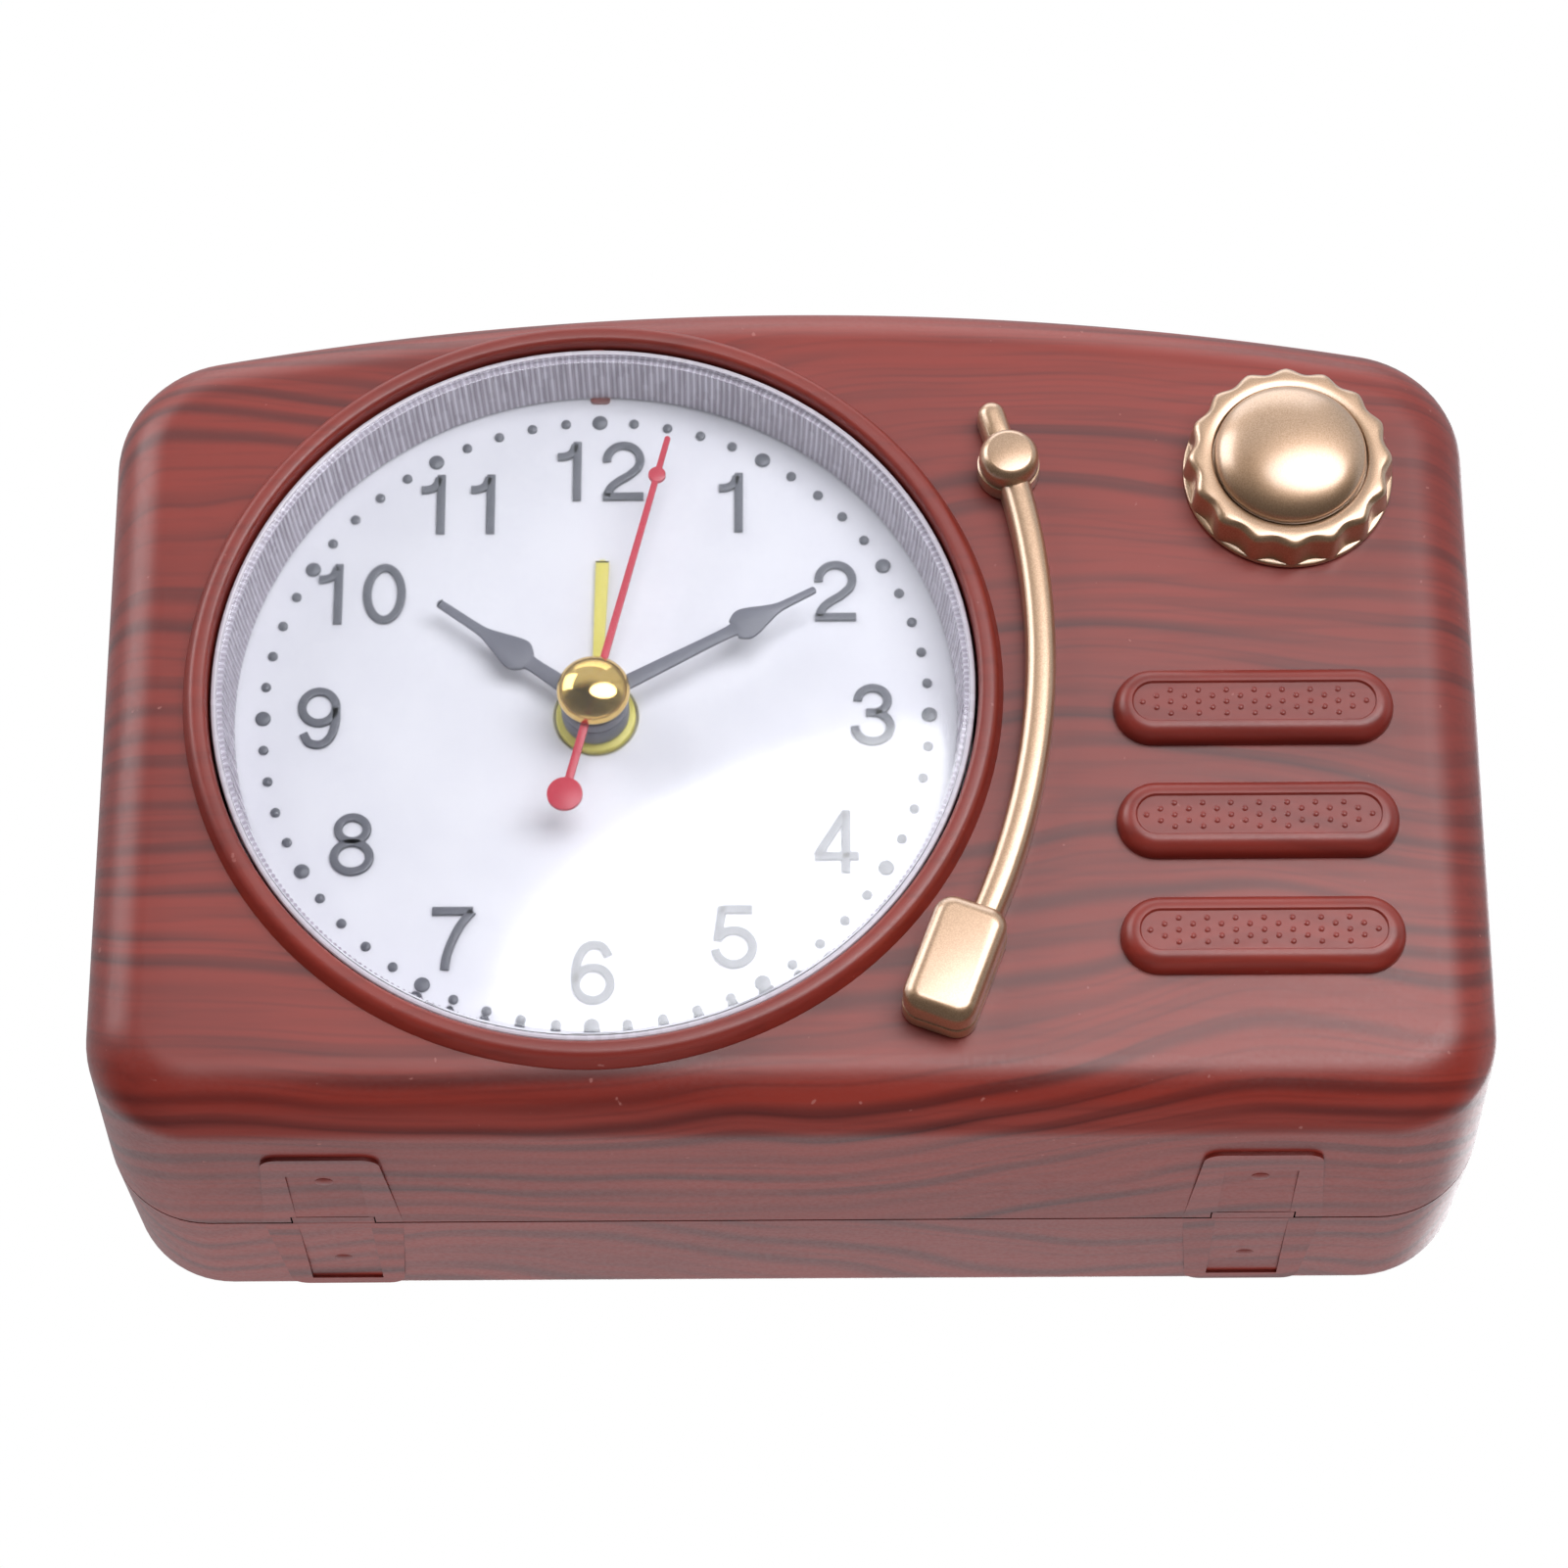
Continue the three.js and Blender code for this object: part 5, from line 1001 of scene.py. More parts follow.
def rear_half():
    """Rear shell with the knob recess, the battery bay, the screw posts, the sound holes and the lip."""
    deep = CASE_DEPTH + OVERRUN
    tubs = [
        plate(rounded_box(*size, *place), deep, deep - floor)
        for (*size, floor), place in ((RECESS_TUB, RECESS_PLACE), (DOOR_TUB, BAY), (CELL_TUB, BAY))
    ]
    hollow = carved(
        case_body(CASE_DEPTH, PARTING + SEAM, REAR_EDGE, WALL, OVERRUN), *tubs,
        *[rod(4.8, 28.6, deep, x, z) for x, z in POSTS],
    )
    shell = carved(
        case_body(CASE_DEPTH, PARTING + SEAM, REAR_EDGE), hollow,
        slab(*RECESS[:3], RECESS_PLACE, deep, RECESS[3], 0.8),
        slab(*DOOR_SEAT[:3], BAY, deep, DOOR_SEAT[3], 0.2, 2),
        slab(*CELL_ROOM[:3], BAY, deep, CELL_ROOM[3], 0.5, 3),
        slab(*NOTCH[:3], (BAY_X, BAY_Z + NOTCH_RAISE), deep, NOTCH[3], 0.5, 3),
        *[rod(1.8, 35, 41, DIAL_X + side * KNOB_APART, DIAL_Z + KNOB_RAISE) for side in (-1, 1)],
        plate(rounded_box(2.2, 7.0, 1.0, *RECESS_PLACE), 41, 6),
    )
    holes = [rod(1.1, CASE_DEPTH - 4, deep, x, z, 16) for x, z in SOUND_HOLES]
    bores = [rod(3.2, 30.6, deep, x, z) for x, z in POSTS] + [rod(1.4, 27, 33, x, z, 16) for x, z in POSTS]
    inner = LIP_SKIN + LIP_THICK
    lip = carved(
        case_body(LIP_FRONT - LIP_SKIN, LIP_REAR, LIP_SKIN + LIP_EDGE, LIP_SKIN),
        case_body(20.0, LIP_REAR, inner + LIP_EDGE, inner, OVERRUN),
    )
    # Plus and minus marks on the floor of the battery bay, each by its own contact.
    marks = [
        block(BAY_X + x - across, BAY_X + x + across, MARK_FRONT, MARK_REAR, BAY_Z - up, BAY_Z + up)
        for x, across, up in (
            (PLUS_X, MARK_LONG, MARK_THIN), (PLUS_X, MARK_THIN, MARK_LONG), (MINUS_X, MARK_LONG, MARK_THIN),
        )
    ]
    return joined(carved(shell, *holes, *bores), lip, *marks)


class CLOCK_OT_case(bpy.types.Operator):
    """Mould the front and rear shells with their rounded edges, openings and pads"""

    bl_idname = "clock.case"
    bl_label = "Case"

    def execute(self, context):
        keep(front_half(), "case_front", "film", "case", ("front_shell",))
        keep(bezel_ring(), "bezel", "film_plain", "case")
        for x, label in ((-FOOT_X, "left"), (FOOT_X, "right")):
            keep(shifted(foot(), x), f"pads_{label}", "film", "case")
        keep(rear_half(), "case_back", "film_back", "case", ("back_shell",))
        return {"FINISHED"}


# Keys
KEY_X = 45.3
KEY_PLACES = (("low", 18.6), ("middle", 30.65), ("high", 42.7))
KEY_LENGTH, KEY_WIDTH, KEY_CORNER = 27.3, 7.75, 3.85
KEY_ROOT = 0.4
KEY_STEP = 0.3                     # upright foot of the sides
KEY_ROUND = 1.5                    # width of the rounded sides
KEY_PANEL = [(1.72, 2.1), (1.78, 2.06), (1.84, 1.9), (1.9, 1.85)]  # inwards from the side, and up
PIP = [(0.31, 1.7), (0.3, 1.88), (0.22, 1.95), (0.1, 1.99), (0, 2.0)]
PIP_APART, PIP_ROWS_APART = 2.72, 0.62
PIP_ROWS = ((2, 7), (1, 8), (0, 9), (-1, 8), (-2, 7))  # rows from the middle, each with its count


class CLOCK_OT_keys(bpy.types.Operator):
    """Mould the three long keys with their sunk and dotted panels"""

    bl_idname = "clock.keys"
    bl_label = "Keys"

    def execute(self, context):
        side = quarter(KEY_ROUND, KEY_HEIGHT - KEY_STEP, 9)
        rim = [(0.0, -KEY_ROOT), *[(inset, KEY_STEP + rise) for inset, rise in side], *KEY_PANEL]
        for label, z in KEY_PLACES:
            body = stacked([
                (rounded_box(
                    KEY_LENGTH - inset * 2, KEY_WIDTH - inset * 2, KEY_CORNER - inset, KEY_X, z, 12,
                ), -up)
                for inset, up in rim
            ])
            places = [
                (KEY_X + (i - (count - 1) / 2) * PIP_APART, z + row * PIP_ROWS_APART)
                for row, count in PIP_ROWS for i in range(count)
            ]
            pips = scattered(revolve([(radius, -up) for radius, up in PIP], 10), places)
            keep(joined(body, pips), f"key_{label}", "film_key", "case")
        return {"FINISHED"}


# Dial
DIAL_RADIUS = 37.4
DIAL_HOLE = 4.2
DIAL_EDGE = 0.1
DOT_RING = 33
NUMERAL_RING = 27.4
DIGIT_APART = 0.76                 # share of the numerals' height
ONE_DIGIT_SHIFT = 0.02             # also a share
INK_RISE = 0.36
DOT_DOME = [(1.0, 0.1), (1.0, -0.14), (0.9, -0.26), (0.62, -0.34), (0.3, -0.37), (0, -0.38)]
HOUR_DOT, MINUTE_DOT = 0.78, 0.5

# Strokes of the numerals, drawn in a cell one high and 0.78 wide
STROKES = {
    "0": [(bow(0.36, 0.5, 0.26, 0.44, 90, 450, 40)[:-1], True)],
    "1": [([(0.42, 0), (0.42, 1)], False),
          (flowing([(0.12, 0.75), (0.22, 0.755), (0.31, 0.79), (0.365, 0.86), (0.39, 0.95)]), False)],
    "2": [(bow(0.37, 0.69, 0.255, 0.25, 187, -28, 26)
           + flowing([(0.58, 0.54), (0.45, 0.42), (0.28, 0.31), (0.17, 0.2), (0.125, 0.06)]), False),
          ([(0.06, 0.06), (0.68, 0.06)], False)],
    "3": [(bow(0.36, 0.735, 0.225, 0.205, 182, -78, 26), False),
          (bow(0.36, 0.3, 0.265, 0.24, 78, -182, 26), False), ([(0.26, 0.535), (0.42, 0.535)], False)],
    "4": [([(0.5, 0), (0.5, 1)], False), ([(0.485, 0.95), (0.08, 0.28)], False),
          ([(0.04, 0.265), (0.69, 0.265)], False)],
    "5": [([(0.17, 0.935), (0.63, 0.935)], False), ([(0.185, 0.97), (0.125, 0.44)], False),
          (bow(0.36, 0.33, 0.275, 0.27, 152, -172, 28), False)],
    "6": [(bow(0.37, 0.32, 0.255, 0.26, 90, 450, 36)[:-1], True),
          (flowing([(0.115, 0.34), (0.115, 0.54), (0.16, 0.76), (0.26, 0.9), (0.38, 0.94), (0.51, 0.9),
                    (0.59, 0.76)]), False)],
    "7": [([(0.06, 0.935), (0.66, 0.935)], False),
          (flowing([(0.65, 0.93), (0.49, 0.72), (0.36, 0.45), (0.285, 0.2), (0.26, 0.0)]), False)],
    "8": [(bow(0.36, 0.745, 0.215, 0.195, 90, 450, 32)[:-1], True),
          (bow(0.36, 0.295, 0.265, 0.235, 90, 450, 36)[:-1], True)],
}
# The 9 is the 6 upside down.
STROKES["9"] = [([(0.72 - x, 1 - z) for x, z in points], closed) for points, closed in STROKES["6"]]


def around_dial(ring, share):
    """A place on a ring round the dial's centre, a share of a turn clockwise from the top."""
    return DIAL_X + ring * math.sin(TURN * share), DIAL_Z + ring * math.cos(TURN * share)


def numeral(hour, size):
    """Paths of the strokes of an hour's number at its place on the dial."""
    x, z = around_dial(NUMERAL_RING, hour / 12)
    digits = str(hour)
    paths = []
    for i, digit in enumerate(digits):
        start = (i - len(digits) / 2) * DIGIT_APART + (ONE_DIGIT_SHIFT if len(digits) == 1 else 0.0)
        paths += [
            ([(x + (across + start) * size, z + (up - 0.5) * size) for across, up in points], closed)
            for points, closed in STROKES[digit]
        ]
    return paths


class CLOCK_OT_dial(bpy.types.Operator):
    """Stamp the dial with its raised numerals and minute dots"""

    bl_idname = "clock.dial"
    bl_label = "Dial"

    def execute(self, context):
        shape = context.scene.clock_shape
        back = DIAL_DEPTH + DIAL_THICK
        card = revolve([
            (DIAL_HOLE, back), (DIAL_RADIUS, back), (DIAL_RADIUS, DIAL_DEPTH),
            (DIAL_HOLE + DIAL_EDGE, DIAL_DEPTH), (DIAL_HOLE, DIAL_DEPTH + DIAL_EDGE), (DIAL_HOLE, back),
        ], 144, (DIAL_X, DIAL_Z))
        keep(card, "dial_disc", "dial_white", "case", ("dial",))
        dots = []
        for radius, minutes in (
            (HOUR_DOT, range(0, 60, 5)), (MINUTE_DOT, [minute for minute in range(60) if minute % 5]),
        ):
            dot = revolve([(radius * share, DIAL_DEPTH + depth) for share, depth in DOT_DOME], 16)
            dots.append(scattered(dot, [around_dial(DOT_RING, minute / 60) for minute in minutes]))
        keep(joined(*dots), "minute_dots", "ink", "case")
        paths = [path for hour in range(1, 13) for path in numeral(hour, shape.numeral_height / MM)]
        numerals = strip(paths, shape.stroke_width / MM, INK_RISE)
        keep(shifted(numerals, 0, at_depth(DIAL_DEPTH), 0), "numerals", "ink", "case")
        return {"FINISHED"}


# Lens
LENS_IN, LENS_OUT = 36.25, 37.45
LENS_RIM = 0.65                    # rim above the front face
LENS_THICK = 1.3
LENS_UNDER = LENS_THICK - LENS_RIM  # depth of the crown's underside at its rim
CROWN_SEAT = LENS_OUT - 0.6        # the clear crown ends here, inside the ribbed wall
WALL_SEAT = LENS_OUT - 0.58
WALL_RIM = [(0.58, -0.3), (0.5, -0.44), (0.3, -0.5), (0.1, -0.44), (0.0, -0.28), (0.0, LENS_UNDER)]
WALL_TAPER = [(0.35, 4.0), (0.5, 7.0), (0.55, 7.15)]  # inwards from the outside, and depth
WALL_FOOT = 7.15
WALL_RIBS = 360
WALL_RIB_DEPTH = 0.12


def crown_shape(rise):
    """Clear crown of the lens, domed by `rise`, with a soft edge."""
    steps = 16
    dome = [(LENS_IN * i / steps, -LENS_RIM - rise * (1 - (i / steps) ** 2)) for i in range(steps + 1)]
    profile = [
        *dome, (LENS_OUT - 0.75, -LENS_RIM), (LENS_OUT - 0.64, -0.6), (CROWN_SEAT, -0.5), (CROWN_SEAT, 0.2),
        (CROWN_SEAT, 0.64), (LENS_IN, LENS_UNDER),
        *[(radius, depth + LENS_THICK) for radius, depth in dome[-2::-1]],
    ]
    return repeated(revolve(profile, 16, angle=TURN / 8), 8)


def ribbed_wall():
    """Wall of the lens, with upright ribs along its inside."""
    wall = repeated(revolve([
        (LENS_IN, LENS_UNDER), (WALL_SEAT, LENS_UNDER),
        *[(LENS_OUT - inset, depth) for inset, depth in WALL_RIM + WALL_TAPER],
        (LENS_IN - 0.5, WALL_FOOT), (LENS_IN - 0.25, 4.0), (LENS_IN, LENS_UNDER),
    ], 20, angle=TURN / 36), 36)
    for vert in wall.verts:
        radius = math.hypot(vert.co.x, vert.co.z)
        step = round(math.atan2(vert.co.z, vert.co.x) / TURN * WALL_RIBS * 2)
        if radius < LENS_IN + 0.1 and vert.co.y - FACE_Y < WALL_FOOT - 0.05 and step % 2:
            vert.co.x *= 1 + WALL_RIB_DEPTH / radius
            vert.co.z *= 1 + WALL_RIB_DEPTH / radius
    return wall


class CLOCK_OT_lens(bpy.types.Operator):
    """Mould the domed lens with its ribbed wall"""

    bl_idname = "clock.lens"
    bl_label = "Lens"

    def execute(self, context):
        crown = crown_shape(context.scene.clock_shape.lens_crown / MM)
        keep(on_dial(crown), "lens_crown", "lens", "case", ("lens",), 50.0)
        keep(on_dial(ribbed_wall()), "lens_wall", "lens_wall", "case", (), 20.0)
        tab = slab(1.3, 0.22, 0.1, (0, 37.6), 3.2, -0.1, 0.08, 2)
        mark = slab(2.0, 0.9, 0.44, (0, 35.6), DIAL_DEPTH, DIAL_DEPTH - 0.3, 0.1, 2)
        keep(on_dial(joined(tab, mark)), "lens_keys", "film", "case")
        return {"FINISHED"}


# Hands. Pairs of shares run up a hand: of its length, and of its width to one side.
HAND_THICK = 0.4
HOUR_SHARES = [
    (0.06, 0.26), (0.25, 0.23), (0.4, 0.21), (0.43, 0.32), (0.46, 0.45), (0.49, 0.5), (0.54, 0.45),
    (0.62, 0.3), (0.69, 0.18), (0.75, 0.14), (0.97, 0.12), (0.99, 0.1), (1.0, 0.05),
]
MINUTE_SHARES = [
    (0.05, 0.24), (0.3, 0.21), (0.6, 0.18), (0.63, 0.32), (0.655, 0.45), (0.68, 0.5), (0.72, 0.44),
    (0.775, 0.28), (0.82, 0.17), (0.86, 0.13), (0.98, 0.11), (0.995, 0.09), (1.0, 0.05),
]
ALARM_SHARES = [(0.18, 0.38), (0.6, 0.45), (0.96, 0.5), (0.985, 0.4), (1.0, 0.15)]
# Length and width, height of the blade's back above the dial; then the hub's radius, bottom, top and bore
LEAVES = (
    ("hour", HOUR_SHARES, (19.5, 3.5, 2.5), (3.35, 0.9, 3.2, 1.9), "hand_grey", "dark_hands"),
    ("minute", MINUTE_SHARES, (24.8, 3.3, 4.1), (3.35, 3.5, 4.9, 1.2), "hand_grey", "dark_hands"),
    ("alarm", ALARM_SHARES, (17.2, 1.35, 0.2), (3.95, -0.4, 0.6, 2.3), "alarm_paint", "alarm_hand_paint"),
)
SECOND_RAISE = 5.2
SECOND_TAIL, SECOND_TIP = -11.1, 29.35
SECOND_SIDE = [(0.42, SECOND_TAIL), (0.4, 0), (0.29, 29.2), (0.1, SECOND_TIP)]
SECOND_DISCS = ((0.87, 24.9), (1.75, SECOND_TAIL), (2.6, 0))  # radius, and place along the hand
CAP_RAISE = 5.9
CAP_RADIUS, CAP_DOME, CAP_SKIRT = 3.6, 2.0, 0.3
CAP_BORE, CAP_BORE_DEPTH = 0.65, 1.2


def leaf(shares, length, width, raised):
    """A flat hand whose half width follows its length, with softened front edges."""
    side = flowing([(across * width, along * length) for along, across in shares], 5)
    return plate([*side, *[(-x, z) for x, z in reversed(side)]], DIAL_DEPTH - raised, HAND_THICK, 0.1)


def hub(radius, bottom, top, bore, edge=0.2):
    """Ring round the arbor, between two heights above the dial."""
    back, front = DIAL_DEPTH - bottom, DIAL_DEPTH - top
    return revolve([
        (bore, back), (radius, back), (radius, front + edge), (radius - edge * 0.3, front + edge * 0.3),
        (radius - edge, front), (bore, front), (bore, back),
    ], 48)


class CLOCK_OT_hands(bpy.types.Operator):
    """Stamp the hands and turn the cap over their arbor"""

    bl_idname = "clock.hands"
    bl_label = "Hands"

    def execute(self, context):
        shape = context.scene.clock_shape
        angles = {"hour": shape.hour_angle, "minute": shape.minute_angle, "alarm": shape.alarm_angle}
        for name, shares, blade, ring, finish, slot in LEAVES:
            hand = spun(joined(leaf(shares, *blade), hub(*ring)), angles[name])
            keep(on_dial(hand), f"hand_{name}", finish, f"{name}_work", (f"{name}_hand",))

        back = DIAL_DEPTH - SECOND_RAISE
        needle = plate(
            SECOND_SIDE + [(-x, z) for x, z in reversed(SECOND_SIDE)], back, HAND_THICK, 0.08,
        )
        discs = [plate(disc(radius, 32, 0, z), back, HAND_THICK + 0.02, 0.1) for radius, z in SECOND_DISCS]
        second = spun(joined(needle, *discs), shape.second_angle)
        keep(on_dial(second), "hand_second", "hand_red", "second_work", ("second_hand",))

        foot_depth = DIAL_DEPTH - CAP_RAISE
        dome = [
            (CAP_RADIUS - inset, foot_depth - CAP_SKIRT - rise)
            for inset, rise in quarter(CAP_RADIUS, CAP_DOME, 14)
        ]
        cap = revolve([
            (CAP_BORE, foot_depth - CAP_BORE_DEPTH), (CAP_BORE, foot_depth), (CAP_RADIUS - 0.1, foot_depth),
            (CAP_RADIUS, foot_depth - 0.08), *dome,
        ], 64)
        keep(on_dial(cap), "cap_dome", "cap_gold", "second_work", ("hand_cap",))
        return {"FINISHED"}


# Tone arm
ARM_RADIUS = 73.0
ARM_HALF, ARM_TOP, ARM_ROUND = 1.5, 3.3, 1.6  # half width, height and height of the rounded top
STUB_HALF, STUB_REACH, STUB_THICK = 1.4, 5.8, 2.85
PIVOT_OFF, PIVOT_TURN = OPENING + 9.45, 29.44  # from the dial's centre, and degrees above level
PIVOT = [                          # radius, and height above the face
    (0, 0.2), (3.05, 0.2), (3.1, 0.35), (3.08, 2.1), (2.9, 2.2), (2.9, 2.35), (2.98, 2.45), (2.96, 3.55),
    (2.9, 3.95), (2.7, 4.35), (2.45, 4.62), (2.2, 4.76), (2.05, 4.8), (0, 4.8),
]
SHELL_OFF, SHELL_FALL = OPENING + 8.8, -41.43
SHELL_TURN = math.radians(20.4)
SHELL_ASIDE, SHELL_UP = 1.0, 6.4   # where the bar meets the cartridge shell, from its middle
# Width, length, corner, base and crown heights, edge radius and steps
SHELL_LAYERS = (
    (7.4, 12.4, 2.0, 0.2, 1.9, 0.2, 3),
    (6.9, 11.9, 1.8, 1.5, 2.4, 0.1, 2),
    (7.3, 12.3, 2.0, 2.12, 5.2, 1.35, 8),
)


def off_dial(reach, degrees):
    """A place at a distance from the dial's centre, at an angle above level."""
    angle = math.radians(degrees)
    return Vector((DIAL_X + reach * math.cos(angle), DIAL_Z + reach * math.sin(angle)))


def arm_bar(centre, low, high):
    """The curved bar, with a softly rounded top, between two angles round its centre."""
    crown = [
        (ARM_RADIUS - ARM_HALF * math.copysign(abs(math.cos(a)) ** 0.75, math.cos(a)),
         ARM_ROUND - ARM_TOP - ARM_ROUND * math.sin(a) ** 0.8)
        for a in (math.pi * i / 16 for i in range(17))
    ]
    inner, outer = (ARM_RADIUS - ARM_HALF, -GLUE), (ARM_RADIUS + ARM_HALF, -GLUE)
    bar = revolve([inner, *crown, outer, inner], 56, centre, high - low, low)
    bmesh.ops.holes_fill(bar, edges=[e for e in bar.edges if len(e.link_faces) == 1])
    bmesh.ops.recalc_face_normals(bar, faces=bar.faces)
    return bar


class CLOCK_OT_arm(bpy.types.Operator):
    """Cast the tone arm, its pivot and the cartridge shell"""

    bl_idname = "clock.arm"
    bl_label = "Tone arm"

    def execute(self, context):
        start, shell_place = off_dial(PIVOT_OFF, PIVOT_TURN), off_dial(SHELL_OFF, SHELL_FALL)
        s, c = math.sin(SHELL_TURN), math.cos(SHELL_TURN)
        end = shell_place + Vector((SHELL_ASIDE * c + SHELL_UP * s, SHELL_UP * c - SHELL_ASIDE * s))
        chord = end - start
        rise = math.sqrt(ARM_RADIUS ** 2 - (chord.length / 2) ** 2) / chord.length
        centre = (start + end) / 2 + Vector((chord.y, -chord.x)) * rise
        high, low = (math.atan2(*reversed(point - centre)) for point in (start, end))
        tip = bow(0, STUB_REACH, STUB_HALF, STUB_HALF, 0, 180, 16)
        stub = plate([(STUB_HALF, 0), *tip, (-STUB_HALF, 0)], -GLUE, STUB_THICK, 1.2, 6)
        stub = shifted(spun(stub, -high), start.x, 0, start.y)
        pivot = revolve([(radius, -up) for radius, up in PIVOT], 48, start)
        arm = joined(arm_bar(centre, low, high), stub, pivot)
        keep(arm, "arm", "champagne", "case", ("tone_arm",), 40.0)
        shell = spun(joined(*[
            slab(width, long, corner, (0, 0), -base, -crown, edge, steps)
            for width, long, corner, base, crown, edge, steps in SHELL_LAYERS
        ]), SHELL_TURN)
        shell = shifted(shell, shell_place.x, 0, shell_place.y)
        keep(shell, "cartridge_shell", "champagne", "case", ("head_shell",), 40.0)
        return {"FINISHED"}


# Round knob, and the setting knobs at the rear
FLUTE_ROUND = 0.22                 # share of the plain wave in a flute; the rest softens the ridges
FLUTE_EASE = 0.9                   # the flutes deepen over this distance from where they start
KNOB_PLACE = middle("knob_dome")
KNOB_FOOT = [(0, 0.2), (10.35, 0.2), (10.4, 0.3), (10.4, 0.6), (10.3, 0.7)]  # radius, and height
KNOB_RIM = [
    (10.1, 3.72), (9.99, 3.93), (9.8, 4.1), (9.55, 4.22), (9.2, 4.29), (8.6, 4.3), (7.85, 4.28),
    (7.72, 4.2), (7.68, 4.05), (7.68, 3.1), (0, 3.1),
]
KNOB_RADIUS, KNOB_TAPER = 10.4, 0.25
KNOB_WALL_LOW, KNOB_WALL_RISE = 0.72, 2.75
KNOB_FLUTES_IN = 8.9
KNOB_FLUTED = (-5.0, -0.71)        # depths between which the flutes lie
TOP_RADIUS, TOP_SIDE, TOP_DOME = 7.5, 4.5, 2.7
SETTING_HEAD = [
    (0, 39.3), (5.9, 39.3), (6.3, 39.4), (6.5, 39.7), (6.5, 41.2), (6.5, 42.8), (6.5, 44.6), (6.45, 45.3),
    (6.25, 45.8), (5.9, 46.15), (5.4, 46.3), (4.6, 46.3), (4.45, 46.22), (4.35, 46.0), (4.3, 45.8),
    (2.0, 45.75), (0, 45.75),
]
SETTING_SHAFT = [(0, 25.25), (1.3, 25.25), (1.5, 25.5), (1.5, 39.6), (0, 39.6)]
SETTING_FLUTES = 24
SETTING_FLUTE_DEPTH = 0.62
SETTING_FLUTES_IN = 5.4
SETTING_FLUTED = (39.5, 46.2)


class CLOCK_OT_knob(bpy.types.Operator):
    """Turn the fluted knob and its domed top"""

    bl_idname = "clock.knob"
    bl_label = "Knob"

    def execute(self, context):
        shape = context.scene.clock_shape
        wall = [(KNOB_RADIUS - KNOB_TAPER * i / 5, KNOB_WALL_LOW + KNOB_WALL_RISE * i / 5) for i in range(6)]
        ring = fluted(
            [(radius, -up) for radius, up in KNOB_FOOT + wall + KNOB_RIM], shape.flutes, 14,
            shape.flute_depth / MM, KNOB_FLUTES_IN, KNOB_FLUTED,
        )
        ring = shifted(ring, KNOB_PLACE[0], 0, KNOB_PLACE[1])
        keep(ring, "knob_fluted", "champagne", "case", ("knob_ring",), 48.0)
        dome = [(TOP_RADIUS - inset, -TOP_SIDE - rise) for inset, rise in quarter(TOP_RADIUS, TOP_DOME, 18)]
        top = revolve([(0, -3.4), (7.2, -3.4), (7.45, -3.9), *dome], 96, KNOB_PLACE)
        keep(top, "knob_top", "champagne", "case", ("knob_dome",))
        return {"FINISHED"}


class CLOCK_OT_setting_knobs(bpy.types.Operator):
    """Turn the two grooved setting knobs at the rear"""

    bl_idname = "clock.setting_knobs"
    bl_label = "Setting knobs"

    def execute(self, context):
        for side, name in ((-1, "time"), (1, "alarm")):
            head = fluted(
                SETTING_HEAD, SETTING_FLUTES, 8, SETTING_FLUTE_DEPTH, SETTING_FLUTES_IN, SETTING_FLUTED,
            )
            whole = shifted(
                joined(head, revolve(SETTING_SHAFT, 24)), DIAL_X + side * KNOB_APART, 0, DIAL_Z + KNOB_RAISE,
            )
            keep(whole, f"{name}_knob_grooved", "black", f"{name}_setter",
                 (f"{name}_set_knob",), 50.0)
        return {"FINISHED"}


# Alarm switch, battery door and case screws
SWITCH_PLACE = middle("alarm_switch")
RIB_APART = 1.35
DOOR = (64.0, 20.5, 1.2)
DOOR_FRONT = 47.2
GRIP = (12.0, 0.9, 0.4)
GRIP_LOW, GRIP_APART, GRIP_DEPTH = -6.4, 2.2, 0.5
LATCH_APART, SLIT_HALF, LATCH_LONG = 4.9, 0.4, 5.5
TAB_APART, TAB_LOW = 19.0, -10.35
SCREW = [
    (0, 32.5), (0.9, 32.45), (1.8, 32.25), (2.4, 31.8), (2.65, 31.2), (2.7, 30.7), (1.2, 30.65), (1.2, 21.5),
    (0.5, 20.3), (0, 20.1),
]
CROSS_LONG, CROSS_THIN = 1.5, 0.28


class CLOCK_OT_switch(bpy.types.Operator):
    """Mould the alarm switch with its ribbed button"""

    bl_idname = "clock.switch"
    bl_label = "Alarm switch"

    def execute(self, context):
        x, z = SWITCH_PLACE
        ribs = [slab(3.3, 0.7, 0.3, (x, z + rib * RIB_APART), 41.0, 41.85, 0.28, 3) for rib in (-1, 0, 1)]
        base = slab(6.0, 9.0, 0.8, SWITCH_PLACE, 35.5, 36.9, 0.2, 2)
        neck = plate(rounded_box(1.8, 2.6, 0.5, x, z), 39.5, 3.0)
        button = slab(4.0, 5.0, 0.7, SWITCH_PLACE, 39.3, 41.3, 0.3)
        keep(joined(base, neck, button, *ribs), "switch_button", "black", "alarm_slider",
             ("alarm_switch",), 40.0)
        return {"FINISHED"}


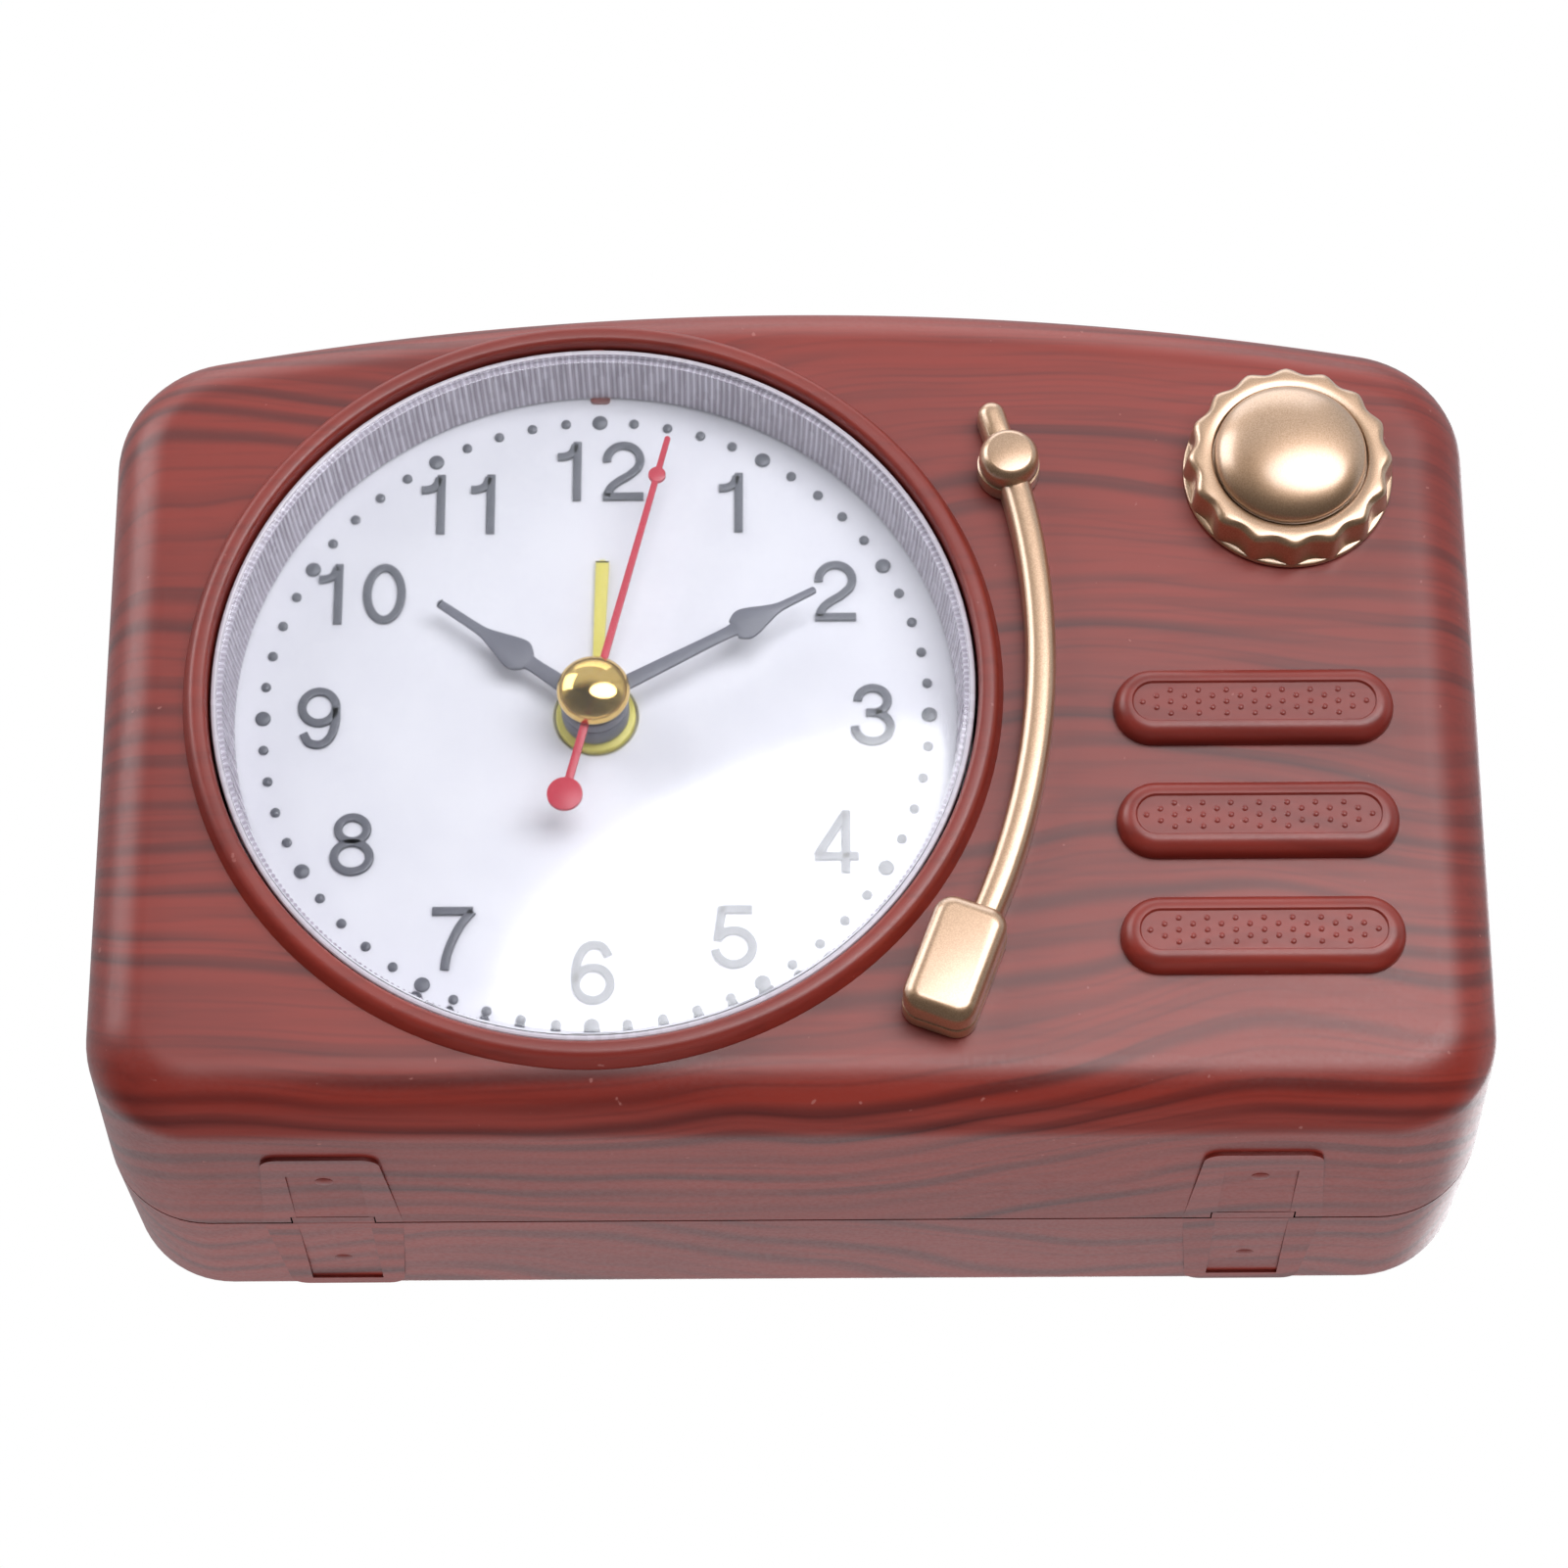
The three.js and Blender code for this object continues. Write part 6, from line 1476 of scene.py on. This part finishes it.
class CLOCK_OT_door(bpy.types.Operator):
    """Mould the battery door with its latch, grip lines and hinge hooks"""

    bl_idname = "clock.door"
    bl_label = "Battery door"

    def execute(self, context):
        top = BAY_Z + DOOR[1] / 2
        grips = [
            slab(*GRIP, (BAY_X, BAY_Z + GRIP_LOW + i * GRIP_APART), CASE_DEPTH + OVERRUN,
                 CASE_DEPTH - GRIP_DEPTH, 0.2, 3)
            for i in range(5)
        ]
        slits = [
            block(x - SLIT_HALF, x + SLIT_HALF, 46, 50, top - LATCH_LONG, top + OVERRUN)
            for x in (BAY_X - LATCH_APART, BAY_X + LATCH_APART)
        ]
        panel = carved(slab(*DOOR, BAY, DOOR_FRONT, CASE_DEPTH, 0.35), *grips, *slits)
        nib = slab(7.4, 0.9, 0.35, (BAY_X, top - 0.8), CASE_DEPTH - 0.3, CASE_DEPTH - 0.02, 0.1, 2)
        tabs = [
            slab(5.0, 2.2, 0.5, (x, BAY_Z + TAB_LOW), DOOR_FRONT, DOOR_FRONT + 1.2, 0.3, 3)
            for x in (BAY_X - TAB_APART, BAY_X + TAB_APART)
        ]
        keep(joined(panel, nib, *tabs), "door_panel", "film_back", "door", ("battery_door",))
        return {"FINISHED"}


class CLOCK_OT_screws(bpy.types.Operator):
    """Turn the four case screws with their cross slots"""

    bl_idname = "clock.screws"
    bl_label = "Screws"

    def execute(self, context):
        slots = [
            block(-across, across, 31.2, 33.5, -up, up)
            for across, up in ((CROSS_LONG, CROSS_THIN), (CROSS_THIN, CROSS_LONG))
        ]
        screws = scattered(carved(revolve(SCREW, 32), *slots), POSTS)
        names = [name for name in NODES if name.startswith("case_screw")]
        keep(screws, "case_screws", "steel", "case", names)
        return {"FINISHED"}


class CLOCK_PT_pieces(bpy.types.Panel):
    """Lists what may be changed and the operators that dress the clock"""

    bl_label = "Clock"
    bl_idname = "CLOCK_PT_pieces"
    bl_space_type = "VIEW_3D"
    bl_region_type = "UI"
    bl_category = "Clock"

    def draw(self, context):
        for group in (context.scene.clock_shape, context.scene.clock_finish):
            for name in group.__annotations__:
                self.layout.prop(group, name)
        for operator in OPERATORS:
            self.layout.operator(operator.bl_idname)


OPERATORS = (
    CLOCK_OT_finishes, CLOCK_OT_stage, CLOCK_OT_case, CLOCK_OT_keys, CLOCK_OT_dial, CLOCK_OT_lens,
    CLOCK_OT_hands, CLOCK_OT_arm, CLOCK_OT_knob, CLOCK_OT_setting_knobs, CLOCK_OT_switch, CLOCK_OT_door,
    CLOCK_OT_screws,
)
CLASSES = (ClockFinish, ClockShape, *OPERATORS, CLOCK_PT_pieces)


def register():
    for cls in CLASSES:
        bpy.utils.register_class(cls)
    bpy.types.Scene.clock_finish = bpy.props.PointerProperty(type=ClockFinish)
    bpy.types.Scene.clock_shape = bpy.props.PointerProperty(type=ClockShape)


def unregister():
    del bpy.types.Scene.clock_shape
    del bpy.types.Scene.clock_finish
    for cls in reversed(CLASSES):
        bpy.utils.unregister_class(cls)


def main():
    register()
    for operator in OPERATORS:
        group, name = operator.bl_idname.split(".")
        getattr(getattr(bpy.ops, group), name)()


if __name__ == "__main__":
    main()
